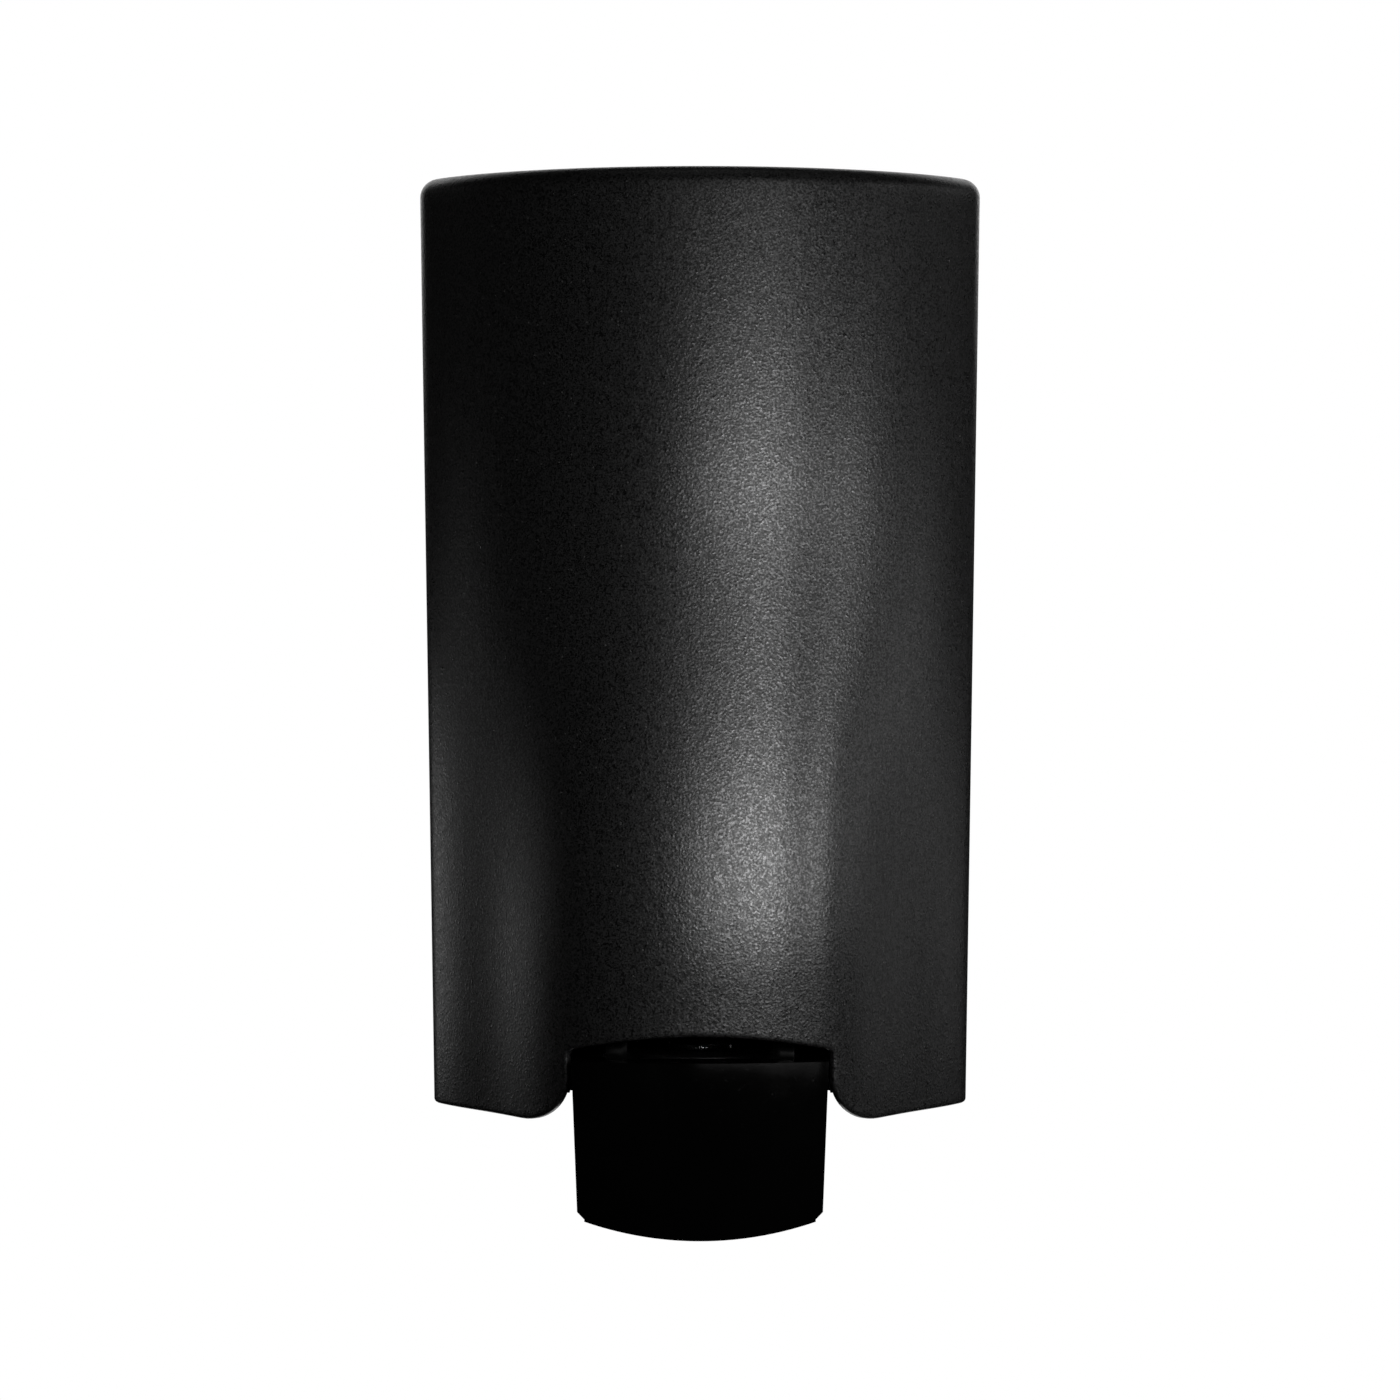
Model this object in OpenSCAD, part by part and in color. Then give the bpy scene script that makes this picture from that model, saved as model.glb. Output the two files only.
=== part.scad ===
// Wall-mounted soap dispenser with a push lever under an arched notch in its cover.
//
// X runs across the front, +Z is up, and the wall is the plane y = 0, with the dispenser standing out
// towards -Y.  "Depth" means the distance from the wall, so depth d is y = -d.  Inside the modules,
// z is measured up from the cover's lower edge; placed() moves it all so that the origin ends up
// on the wall, at the middle of the four wall screws.

/* [Cover] */
// Width of the cover at its top
cover_w = 120; // [100:1:150]
// How much the cover narrows on each side towards its bottom
cover_taper = 2.75; // [0:0.25:5]
// Height of the cover
cover_h = 198; // [165:1:240]
// Depth of the cover's front at its top
cover_d = 96; // [80:1:120]
// Wall thickness of the cover
cover_wall = 2.5; // [2:0.1:3.2]
// How far the front arc stands ahead of its two ends
front_rise = 34; // [26:1:42]
// Radius where the front turns into the sides
side_r = 10; // [6:0.5:14]
// Radius of the top edge
top_r = 4; // [3.4:0.1:6]
// How far the nose above the lever stands out
nose_out = 12; // [6:0.5:15]
// Half the width over which the nose fades
nose_half_w = 38; // [32:1:46]
// Height at which the nose is at its fullest
nose_low = 30; // [20:1:40]
// Height at which the nose has faded out
nose_top = 130; // [100:1:160]

/* [Notch] */
// Width of the notch that the lever works in
notch_w = 55.2; // [44:0.2:68]
// Height of the notch at its sides
notch_side_h = 15.5; // [13:0.5:20]
// Rise of the notch's arched top above its sides
notch_arch = 3.5; // [1:0.5:6]
// Radius of the flare at the notch's lower corners
flare_r = 10; // [5:0.5:12]

/* [Lever] */
// Gap between the lever and each side of the notch
lever_gap = 1.1; // [0.8:0.1:2]
// Height of the lever's face, at the middle
lever_h = 36.5; // [30:0.5:44]
// How much lower the lever's face is in the middle than at its corners
lever_sag = 4; // [1:0.5:6]
// How much the lever narrows on each side towards its bottom
lever_taper = 1.2; // [0:0.1:2]
// Radius of the lever's face, seen from above
lever_face_r = 90; // [60:1:140]
// How far the lever's face lies behind the nose
lever_recess = 1; // [0.5:0.1:3]
// Wall thickness of the lever
lever_wall = 2.5; // [2:0.1:3]
// Radius of the lever's pivot pin
pivot_r = 2; // [1.6:0.1:2.4]
// Depth from the lever's face to its pivot pin
pivot_back = 19; // [16:0.5:22]
// Length of the lever's arms, from the pivot pin to the pump
arm_len = 28; // [24:0.5:33]
// Angle that the lever is pushed through
push_angle = 16; // [10:1:18]

/* [Pump] */
// Radius of the reservoir's neck
neck_r = 15; // [13:0.5:17]
// Radius of the nut that holds the pump on the neck
nut_r = 19; // [18:0.5:22]
// Bore radius of the pump cylinder
piston_r = 6.5; // [5.5:0.1:7.5]
// Radius of the pump stem
stem_r = 3.6; // [3:0.1:4]
// Length of the return spring at rest
spring_len = 19.2; // [17:0.2:23]
// Radius of the spring's wire
spring_wire_r = 0.6; // [0.4:0.05:0.8]
// Radius of the inlet ball
ball_r = 3; // [2.5:0.1:3.5]
// How far the inlet ball lifts
ball_lift = 1.5; // [1:0.1:2]

/* [Reservoir] */
// Wall thickness of the reservoir
tank_wall = 1.5; // [1.2:0.1:2]
// Gap between the reservoir and the inside of the cover
tank_gap = 3; // [2.5:0.5:6]
// Radius of the filling mouth
mouth_r = 25; // [20:0.5:28]
// How far the lid lifts to come free of the mouth
lid_lift = 12; // [8:0.5:13]

/* [Wall plate] */
// Thickness of the wall plate
plate_t = 3; // [2.5:0.5:4]
// Depth of the rib around the wall plate
plate_rib_d = 9; // [7:0.5:10]
// Gap between the wall plate and the inside of the cover
plate_gap = 1; // [0.8:0.1:2]
// Distance between the wall screws, side to side
screw_dx = 70; // [56:1:76]
// Radius of the wall screws' holes
screw_hole_r = 2.6; // [2:0.1:3.2]

/* [Hinge and lock] */
// Depth of the cover's hinge axis
hinge_d = 10; // [9.5:0.5:12]
// Distance of the hinge axis below the top of the cover
hinge_drop = 9; // [8:0.5:9.5]
// Radius of the hinge pins
hinge_pin_r = 2; // [1.6:0.1:2.2]
// Radius of the lock barrel
lock_r = 5.5; // [4.5:0.5:6]
// Length of the lock's cam, from the barrel's axis
cam_len = 13; // [11:0.5:13.5]

/* [Hidden] */
$fn = 64;
eps = 0.01;
far = 400;
run_gap = 0.05;       // radial running clearance of a pin in its bore
rear_gap = 2;         // the cover's rear edge stands this far off the wall

// Heights, from the cover's lower edge upwards
lever_top = notch_side_h - 2;
pivot_z = lever_top - 5.5;
lever_bottom = lever_top - lever_h;
finger_r = 2;
finger_play = 0.3;
collar_low = pivot_z + finger_play;
collar_t = 3;
spring_low = collar_low + collar_t;
flange_low = spring_low + spring_len;
flange_t = 2.5;
seal_t = 1;
neck_low = flange_low + flange_t + seal_t;
neck_len = 12;
shelf_top = neck_low + neck_len;
shelf_t = 3;
panel_low = 5;
panel_t = 2.5;
hinge_z = cover_h - hinge_drop;
plate_low = 3;
plate_top = hinge_z - hinge_d;
screw_margin = 16.5;
screw_dz = plate_top - shelf_top - 2 * screw_margin;
screw_mid_z = (plate_top + shelf_top) / 2;
lid_room = 22;
tank_top = cover_h - cover_wall - lid_room;

// Depths, from the wall outwards
lever_front = cover_d + nose_out - lever_recess;
pivot_d = lever_front - pivot_back;
pump_d = pivot_d - arm_len;
tank_rear = plate_rib_d + 2;

// Widths, measured from the middle
function half_w(z) = cover_w / 2 - cover_taper * (1 - z / cover_h);
low_half_w = half_w(0);
plate_half_w = low_half_w - cover_wall - plate_gap;
tank_half_w = low_half_w - cover_wall - tank_gap - 1.75;
lever_half_w = notch_w / 2 - lever_gap;
stroke = arm_len * push_angle * PI / 180;

// ---------------------------------------------------------------- shapes used by several parts

module placed() translate([0, 0, -screw_mid_z]) children();

// Extrudes an outline drawn in (x, z) from one depth to another
module along_depth(from, to) translate([0, -from, 0]) rotate([90, 0, 0]) linear_extrude(to - from)
  children();

// Extrudes an outline drawn in (depth, z) from one x to another
module along_width(from, to) translate([to, 0, 0]) rotate([90, 0, -90]) linear_extrude(to - from)
  children();

// A rod along X at a depth and height
module cross_rod(r, from, to, d, z) translate([from, -d, z]) rotate([0, 90, 0]) cylinder(r = r,
  h = to - from);

// An upright rod or tube about the line at (x, depth)
module post(r, from, to, d, x = 0) translate([x, -d, from]) cylinder(r = r, h = to - from);
module pipe(r_out, r_in, from, to, d, x = 0) difference() {
  post(r_out, from, to, d, x);
  post(r_in, from - 1, to + 1, d, x);
}

// A block given by its limits across, in depth and in height
module block(x, d, z) translate([x[0], -d[1], z[0]]) cube([x[1] - x[0], d[1] - d[0], z[1] - z[0]]);

module both_sides() {
  children();
  mirror([1, 0, 0]) children();
}

// ---------------------------------------------------------------- the cover's surface

// Radius of the front arc where the cover is h wide to each side, and the depth of the arc's centre
function arc_r(h) = (h * h + front_rise * front_rise) / (2 * front_rise);
function arc_d(h) = cover_d - arc_r(h);

// How far the nose stands out at (x, z): a rounded step across that fades out upwards
function smooth(t) = t <= 0 ? 0 : t >= 1 ? 1 : t * t * (3 - 2 * t);
function nose_share(z) = 1 - smooth((z - nose_low) / (nose_top - nose_low));
function nose(x, z) = nose_out * nose_share(z) * exp(-pow(abs(x) / nose_half_w, 4 + 2 * nose_share(z)));

side_steps = 6;
front_steps = 34;

// One ring of the cover at height z, moved in by inset from the outer surface: from the right rear
// edge, round the front, to the left rear edge
function ring(z, inset) =
  let (h = half_w(z), r = arc_r(h), c = arc_d(h), xf = h - side_r,
       cf = c + sqrt((r - side_r) * (r - side_r) - xf * xf), a = asin(xf / (r - side_r)),
       right = [for (k = [0:side_steps - 1]) let (f = 90 - (90 - a) * k / side_steps)
         [xf + (side_r - inset) * sin(f), cf + (side_r - inset) * cos(f) + nose(xf + side_r * sin(f), z)]],
       front = [for (k = [0:front_steps]) let (f = a - 2 * a * k / front_steps)
         [(r - inset) * sin(f), c + (r - inset) * cos(f) + nose(r * sin(f), z)]],
       left = [for (k = [side_steps - 1:-1:0]) [-right[k][0], right[k][1]]],
       flat = concat([[h - inset, rear_gap]], right, front, left, [[inset - h, rear_gap]]))
  [for (p = flat) [p[0], -p[1], 0]];

wall_steps = 24;
edge_steps = 4;
function raised(points, z) = [for (p = points) [p[0], p[1], z]];

// The rings of the outer surface (wall = 0) or of the inner one, with the rounded top edge last
function rings(wall) =
  let (r = top_r - wall, top = cover_h - wall)
  concat(
    [for (k = [0:wall_steps]) let (z = (top - r) * k / wall_steps) raised(ring(z, wall), z)],
    [for (k = [1:edge_steps]) let (f = 90 * k / edge_steps, z = top - r + r * sin(f))
      raised(ring(z, wall + r * (1 - cos(f))), z)]);

// The cover as one closed shell, open at the back and at the bottom
module cover_shell() {
  outer = rings(0);
  inner = rings(cover_wall);
  n = len(outer[0]);
  levels = len(outer);
  inside = n * levels;
  cap = 2 * inside;
  mid_d = cover_d / 2;
  top = levels - 1;
  sheet = [for (k = [0:top - 1], i = [0:n - 2]) [k * n + i, k * n + i + 1, (k + 1) * n + i + 1,
    (k + 1) * n + i]];
  quads = concat(
    [for (q = sheet) [q[3], q[2], q[1], q[0]]],
    [for (q = sheet) [for (v = q) v + inside]],
    [for (i = [0:n - 2]) [i, i + 1, inside + i + 1, inside + i]],
    [for (k = [0:top - 1]) [k * n, inside + k * n, inside + (k + 1) * n, (k + 1) * n]],
    [for (k = [0:top - 1]) [(k + 1) * n - 1, (k + 2) * n - 1, inside + (k + 2) * n - 1,
      inside + (k + 1) * n - 1]],
    [[top * n, inside + top * n, inside + top * n + n - 1, top * n + n - 1]]);
  caps = concat(
    [for (i = [0:n - 1]) [cap, top * n + (i + 1) % n, top * n + i]],
    [for (i = [0:n - 1]) [cap + 1, inside + top * n + i, inside + top * n + (i + 1) % n]]);
  tris = concat([for (q = quads) [q[0], q[1], q[2]]], [for (q = quads) [q[0], q[2], q[3]]], caps);
  polyhedron(
    points = concat([for (r = outer) each r], [for (r = inner) each r],
                    [[0, -mid_d, cover_h], [0, -mid_d, cover_h - cover_wall]]),
    faces = [for (t = tris) [t[2], t[1], t[0]]]);
}

// The notch, seen from the front: an arched opening whose lower corners flare outwards
module notch_outline() {
  half = notch_w / 2;
  arch_r = (half * half + notch_arch * notch_arch) / (2 * notch_arch);
  intersection() {
    translate([-half, -1]) square([notch_w, notch_side_h + notch_arch + 2]);
    translate([0, notch_side_h + notch_arch - arch_r]) circle(r = arch_r, $fn = 180);
  }
  difference() {
    translate([-half - flare_r, -1]) square([notch_w + 2 * flare_r, flare_r + 1]);
    for (side = [-1, 1]) translate([side * (half + flare_r), flare_r]) circle(r = flare_r);
  }
}

// Everything above and behind the hinge axis that would swing into the wall
module hinge_swing_relief() {
  swing_r = hinge_d - 0.6;
  difference() {
    block([-far / 2, far / 2], [0, hinge_d], [hinge_z, cover_h + 1]);
    cross_rod(swing_r, -far / 2, far / 2, hinge_d, hinge_z);
  }
}

lock_x = plate_half_w - cam_len - 0.75;
lock_d = 29;
cam_w = 8;
cam_low = 15;
cam_t = 2;

// The rib inside the cover that the lock's cam turns in front of
module strike() {
  front = lock_d - cam_w / 2 - 0.3;
  block([lock_x + lock_r + 2, low_half_w - cover_wall / 2], [front - 3, front], [cam_low - 4,
    cam_low + cam_t + 4]);
}

module front_cover() color("#1b1c1c") difference() {
  union() {
    cover_shell();
    strike();
  }
  along_depth(lock_d, cover_d + nose_out + 5) notch_outline();
  hinge_swing_relief();
}

// ---------------------------------------------------------------- the cover's hinge

ear_x = [plate_half_w - 16, plate_half_w - 11];
knuckle_gap = 0.4;
knuckle_t = 5;
knuckle_r = 4.5;
ear_r = knuckle_r - knuckle_gap;
bar_t = 2;
bar_d = [5, 19];
bar_x = ear_x[1] + knuckle_gap + knuckle_t;
bar_top = cover_h - cover_wall;
knuckles = [[ear_x[0] - knuckle_gap - knuckle_t, ear_x[0] - knuckle_gap], [ear_x[1] + knuckle_gap, bar_x]];
hinge_screw_x = [12, ear_x[0] - knuckle_gap - knuckle_t - 5];
hinge_screw_d = 14;
small_screw_r = 1.5;

// The bar under the cover's top wall that carries the hinge knuckles
module hinge_bar() color("#202122") difference() {
  union() {
    block([-bar_x, bar_x], bar_d, [bar_top - bar_t, bar_top]);
    both_sides() for (k = knuckles) {
      cross_rod(knuckle_r, k[0], k[1], hinge_d, hinge_z);
      block(k, [hinge_d - 1, hinge_d + knuckle_r], [hinge_z, bar_top - bar_t + eps]);
    }
  }
  both_sides() {
    cross_rod(hinge_pin_r, knuckles[0][0] - 1, bar_x + 1, hinge_d, hinge_z);
    for (x = hinge_screw_x) post(small_screw_r, bar_top - bar_t - 1, bar_top + 1, hinge_screw_d, x);
  }
}

// A pan-head screw pointing along +Z from the underside of its head at z = 0
module screw(len) {
  translate([0, 0, -1.6]) difference() {
    cylinder(r = small_screw_r * 1.9, h = 1.6);
    for (turn = [0, 90]) rotate([0, 0, turn]) translate([-2, -0.35, -1]) cube([4, 0.7, 1.8]);
  }
  cylinder(r = small_screw_r, h = len);
}

module hinge_screws() color("silver")
  both_sides() for (x = hinge_screw_x) translate([x, -hinge_screw_d, bar_top - bar_t]) screw(bar_t);

module hinge_pins() color("silver") both_sides()
  cross_rod(hinge_pin_r, knuckles[0][0] + 0.5, bar_x - 0.5, hinge_d, hinge_z);

// ---------------------------------------------------------------- the wall plate

screw_d = plate_t - 2.2;                       // depth that the small screws reach into the plate
flange_screws = [[plate_half_w - 12, shelf_top - shelf_t - 8], [14, shelf_top - shelf_t - 8]];
panel_screw = [16, panel_low + panel_t + 7];

module wall_screw_positions() for (x = [-screw_dx / 2, screw_dx / 2], z = [-screw_dz / 2, screw_dz / 2])
  translate([x, 0, screw_mid_z + z]) children();

// One hinge ear, seen from the side: a round eye on a neck that the open cover swings clear of
module ear_outline() {
  translate([hinge_d, hinge_z]) circle(r = ear_r);
  polygon([[hinge_d - 3.5, hinge_z], [hinge_d - 3.5, plate_top], [plate_t - 1, plate_top - eps],
           [plate_t - 1, plate_top - 22], [plate_rib_d + 0.5, plate_top - 7], [hinge_d + ear_r,
             plate_top + 1],
           [hinge_d + ear_r, hinge_z]]);
}

module back_plate() color("#262728") difference() {
  union() {
    block([-plate_half_w, plate_half_w], [0, plate_t], [plate_low, plate_top]);
    difference() {
      block([-plate_half_w, plate_half_w], [plate_t - eps, plate_rib_d], [plate_low, plate_top]);
      block([-plate_half_w + 2, plate_half_w - 2], [0, plate_rib_d + 1], [plate_low + 2, plate_top - 2]);
    }
    wall_screw_positions() along_depth(plate_t - eps, plate_t + 2) circle(r = 6);
    both_sides() along_width(ear_x[0], ear_x[1]) ear_outline();
    for (z = [shelf_top + 8, (shelf_top + plate_top) / 2, plate_top - 24])
      block([-plate_half_w + 2 - eps, plate_half_w - 2 + eps], [plate_t - eps, plate_t + 2], [z, z + 1.6]);
  }
  wall_screw_positions() along_depth(-1, plate_t + 3) circle(r = screw_hole_r);
  both_sides() {
    cross_rod(hinge_pin_r + run_gap, ear_x[0] - 1, ear_x[1] + 1, hinge_d, hinge_z);
    for (s = flange_screws) translate([s[0], 0, s[1]]) along_depth(screw_d, plate_t + 1)
      circle(r = small_screw_r);
    translate([panel_screw[0], 0, panel_screw[1]]) along_depth(screw_d, plate_t + 1)
      circle(r = small_screw_r);
  }
}

// -------------------------------------------------------- the carrier that holds reservoir, pump and lever

cheek_x = [15.1, 19.5];
cheek_d = [pivot_d - 6, pivot_d + 9];
cheek_low = pivot_z - 6;
web_low = notch_side_h + notch_arch - 3.3;
shelf_hole_r = nut_r + 1.5;
flange_plate_t = 2.5;
gusset_x = tank_half_w - 14.5;
bracket_top = shelf_top - shelf_t;
bracket_screw_d = pivot_d - 0.5;

// A flat outline that follows the inside of the cover at its lower edge, seen from above
module inner_plan(half, rear, gap) intersection() {
  translate([-half, -far]) square([2 * half, far - rear]);
  translate([0, -arc_d(low_half_w)]) circle(r = arc_r(low_half_w) - cover_wall - gap, $fn = 180);
}

// The shelf that the reservoir stands on, hung from the wall plate by its flange
module pump_carrier() color("#202122") difference() {
  union() {
    translate([0, 0, shelf_top - shelf_t]) linear_extrude(shelf_t) inner_plan(tank_half_w, plate_t,
      tank_gap);
    block([-plate_half_w + 6, plate_half_w - 6], [plate_t, plate_t + flange_plate_t],
          [shelf_top - shelf_t - 16, shelf_top - shelf_t + eps]);
    both_sides() along_width(gusset_x, gusset_x + 2.5) polygon([[plate_t, shelf_top - shelf_t],
      [plate_t, shelf_top - shelf_t - 16], [plate_t + 6, shelf_top - shelf_t - 16], [pump_d - 15,
        shelf_top - shelf_t]]);
  }
  post(shelf_hole_r, cheek_low, shelf_top + 1, pump_d);
  post(small_screw_r, bracket_top - 1, shelf_top + 1, bracket_screw_d);
  both_sides() for (s = flange_screws) translate([s[0], 0, s[1]])
    along_depth(plate_t - 1, plate_t + flange_plate_t + 1) circle(r = small_screw_r);
}

// The bracket under the shelf whose two cheeks hold the lever's pin
module lever_bracket() color("#101111") difference() {
  union() {
    block([-cheek_x[1], cheek_x[1]], cheek_d, [bracket_top - 3, bracket_top]);
    both_sides() {
      block(cheek_x, cheek_d, [cheek_low, bracket_top - 3 + eps]);
      for (x = [6.4, 12.9])
        block([x - 0.6, x + 0.6], [cheek_d[0] + 2.5 - eps, cheek_d[0] + 4.5], [web_low,
          bracket_top - 3 + eps]);
    }
    block([-cheek_x[0] - eps, cheek_x[0] + eps], [cheek_d[0], cheek_d[0] + 2.5], [web_low + 4.3,
      bracket_top - 3 + eps]);
  }
  post(shelf_hole_r, cheek_low, shelf_top + 1, pump_d);
  both_sides() cross_rod(pivot_r, cheek_x[0] - 1, cheek_x[1] + 1, pivot_d, pivot_z);
  post(small_screw_r, bracket_top - 4, bracket_top + 1, bracket_screw_d);
}

// The screw that holds the bracket up to the shelf
module bracket_screw() color("silver")
  translate([0, -bracket_screw_d, bracket_top - 3]) screw(3 + shelf_t);

// A screw that goes into the wall plate through a flange
module plate_screw(x, z) translate([x, -plate_t - flange_plate_t, z]) rotate([-90, 0, 0])
  screw(plate_t + flange_plate_t - screw_d);

module carrier_screws() color("silver") both_sides() for (s = flange_screws) plate_screw(s[0], s[1]);

// The panel that closes the underside around the lever and the nozzle
module base_panel() color("#202122") difference() {
  union() {
    translate([0, 0, panel_low]) linear_extrude(panel_t) inner_plan(plate_half_w - 2.4, plate_t, plate_gap);
    block([-26, 26], [plate_t, plate_t + flange_plate_t], [panel_low + eps, panel_low + panel_t + 12]);
  }
  block([-lever_half_w - 0.8, lever_half_w + 0.8], [pivot_d - pivot_boss_r - 1.4, far], [panel_low - 1,
    panel_low + panel_t + 1]);
  block([-lever_half_w + 5, lever_half_w - 5], [pump_d - 24, far], [panel_low - 1,
    panel_low + panel_t + 1]);
  post(lock_r + run_gap, panel_low - 1, panel_low + panel_t + 1, lock_d, lock_x);
  both_sides() translate([panel_screw[0], 0, panel_screw[1]])
    along_depth(plate_t - 1, plate_t + flange_plate_t + 1) circle(r = small_screw_r);
}

module panel_screws() color("silver") both_sides() plate_screw(panel_screw[0], panel_screw[1]);

// ---------------------------------------------------------------- the reservoir

mouth_d = (tank_rear + cover_d - cover_wall - tank_gap) / 2;
mouth_h = 5;
lid_t = 2.5;
gasket_t = 1;
plug_h = 4;

module tank_plan(inset) inner_plan(tank_half_w - inset, tank_rear + inset, tank_gap + inset);

// The reservoir's four walls
module reservoir() color("#cfd3d0")
  translate([0, 0, shelf_top + tank_wall]) linear_extrude(tank_top - shelf_top - 2 * tank_wall)
    difference() {
    tank_plan(0);
    tank_plan(tank_wall);
  }

// The reservoir's floor, welded to the walls, with the neck that the pump goes into
module reservoir_floor() color("#cfd3d0") difference() {
  union() {
    translate([0, 0, shelf_top]) linear_extrude(tank_wall) tank_plan(0);
    post(neck_r, neck_low, shelf_top + eps, pump_d);
  }
  post(neck_r - 2.2, neck_low - 1, shelf_top + tank_wall + 1, pump_d);
}

// The reservoir's top, welded to the walls, with the collar of the filling mouth
module reservoir_top() color("#cfd3d0") difference() {
  union() {
    translate([0, 0, tank_top - tank_wall]) linear_extrude(tank_wall) tank_plan(0);
    post(mouth_r + tank_wall, tank_top - eps, tank_top + mouth_h, mouth_d);
  }
  post(mouth_r, tank_top - tank_wall - 1, tank_top + mouth_h + 1, mouth_d);
}

lid_low = tank_top + mouth_h + gasket_t;

module reservoir_lid() color("#2a2b2c") {
  pipe(mouth_r - 0.5, mouth_r - 2.3, lid_low - gasket_t - plug_h, lid_low + eps, mouth_d);
  difference() {
    post(mouth_r + tank_wall + 2.5, lid_low, lid_low + lid_t, mouth_d);
    post(9, lid_low + lid_t - 1, lid_low + lid_t + 1, mouth_d);
  }
  block([-1.2, 1.2], [mouth_d - 8.9, mouth_d + 8.9], [lid_low + lid_t - 1 - eps, lid_low + lid_t]);
}

module lid_gasket() color("#8a3324") pipe(mouth_r + tank_wall, mouth_r - 0.5 + eps, tank_top + mouth_h,
  lid_low, mouth_d);

// ---------------------------------------------------------------- the pump

cage_low = spring_low + spring_len + flange_t + 17;
cage_t = 1.5;
cage_hole_r = ball_r / 2;
ball_z = cage_low + cage_t + sqrt(ball_r * ball_r - cage_hole_r * cage_hole_r) + 0.05;
seat_r = 2.2;
seat_z = ball_z + ball_lift + sqrt(ball_r * ball_r - seat_r * seat_r) + 0.05;
piston_top = cage_low - stroke - 0.7;
piston_t = 4;

module neck_seal() color("#8a3324") pipe(neck_r, neck_r - 2.2, neck_low - seal_t, neck_low, pump_d);

module pump_nut() color("#202122") difference() {
  union() {
    post(nut_r - 0.8, flange_low - 2.5, shelf_top - 4, pump_d);
    for (k = [0:23]) translate([0, -pump_d, 0]) rotate([0, 0, 15 * k])
      translate([nut_r - 1.6, -0.8, flange_low - 2.5]) cube([1.5, 1.6, shelf_top - 4 - flange_low + 2.5]);
  }
  post(neck_r + 0.1, flange_low, shelf_top, pump_d);
  post(neck_r - 5, flange_low - 4, shelf_top, pump_d);
}

module pump_cylinder() color("#d9dcda") difference() {
  union() {
    post(neck_r, flange_low, flange_low + flange_t, pump_d);
    post(piston_r + 1.8, flange_low + eps, seat_z + 2, pump_d);
  }
  post(piston_r, flange_low + flange_t, seat_z, pump_d);
  post(stem_r + 0.1, flange_low - 1, flange_low + flange_t + 1, pump_d);
  post(seat_r, seat_z - 1, seat_z + 3, pump_d);
}

module ball_cage() color("#d9dcda") difference() {
  post(piston_r - eps, cage_low, cage_low + cage_t, pump_d);
  post(cage_hole_r, cage_low - 1, cage_low + cage_t + 1, pump_d);
  for (k = [0:5]) translate([0, -pump_d, 0]) rotate([0, 0, 60 * k])
    translate([piston_r - 2.2, 0, cage_low - 1]) cylinder(r = 1, h = cage_t + 2);
}

module inlet_ball() color("silver") translate([0, -pump_d, ball_z]) sphere(r = ball_r);

spring_turns = 6;
spring_r = 6.2;
spring_sides = 8;
spring_rings = 132;

spring_first = spring_low + spring_wire_r + 0.05;
spring_rise = spring_len - 2 * spring_wire_r - 0.1;

// The middle of the spring's wire, with the turns at both ends lying flat
function helix(t) = let (turn = 360 * spring_turns * t)
  [spring_r * cos(turn), spring_r * sin(turn) - pump_d,
   spring_first + spring_rise * smooth((t * spring_turns - 0.4) / (spring_turns - 0.8))];

// The return spring as a round wire swept along its helix
module return_spring() {
  points = [for (k = [0:spring_rings], s = [0:spring_sides - 1])
    let (c = helix(k / spring_rings), turn = 360 * spring_turns * k / spring_rings,
      f = 360 * s / spring_sides)
    c + spring_wire_r * [cos(f) * cos(turn), cos(f) * sin(turn), sin(f)]];
  last = spring_rings * spring_sides;
  sides = [for (k = [0:spring_rings - 1], s = [0:spring_sides - 1])
    let (a = k * spring_sides + s, b = k * spring_sides + (s + 1) % spring_sides)
    [a, b, b + spring_sides, a + spring_sides]];
  ends = [[for (s = [spring_sides - 1:-1:0]) s], [for (s = [0:spring_sides - 1]) last + s]];
  color("silver") polyhedron(points = points, faces = concat(
    [for (q = sides) [q[0], q[1], q[2]]], [for (q = sides) [q[0], q[2], q[3]]], ends));
}

nozzle_low = pivot_z - 16;
nozzle_r = 6;
bore_r = 1.8;

module pump_stem() color("#d9dcda") difference() {
  union() {
    post(15.5, collar_low, spring_low, pump_d);
    post(stem_r, spring_low - eps, piston_top, pump_d);
  }
  post(bore_r, collar_low - 1, piston_top + 1, pump_d);
}

module piston_seal() color("#202122") pipe(piston_r - 0.1, stem_r, piston_top - piston_t, piston_top,
  pump_d);

module nozzle() color("#d9dcda") difference() {
  union() {
    post(nozzle_r + 2, collar_low - 1.5, collar_low, pump_d);
    translate([0, -pump_d, nozzle_low]) cylinder(r1 = nozzle_r - 1.2, r2 = nozzle_r,
      h = collar_low - 1 - nozzle_low);
  }
  post(bore_r, nozzle_low + 5, collar_low + 1, pump_d);
  post(3.2, nozzle_low - 1, nozzle_low + 5 + eps, pump_d);
}

// A duck-bill that lets soap out and no air in
module outlet_valve() color("#8a3324") difference() {
  union() {
    post(3.2, nozzle_low + 3, nozzle_low + 5, pump_d);
    post(2.2, nozzle_low + 1, nozzle_low + 3 + eps, pump_d);
    block([-0.9, 0.9], [pump_d - 2.1, pump_d + 2.1], [nozzle_low - 0.5, nozzle_low + 1 + eps]);
  }
  post(1.2, nozzle_low + 1.5, nozzle_low + 6, pump_d);
}

// ---------------------------------------------------------------- the lever

arm_x = [10.5, 13.5];
pivot_boss_r = 4.8;

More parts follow.
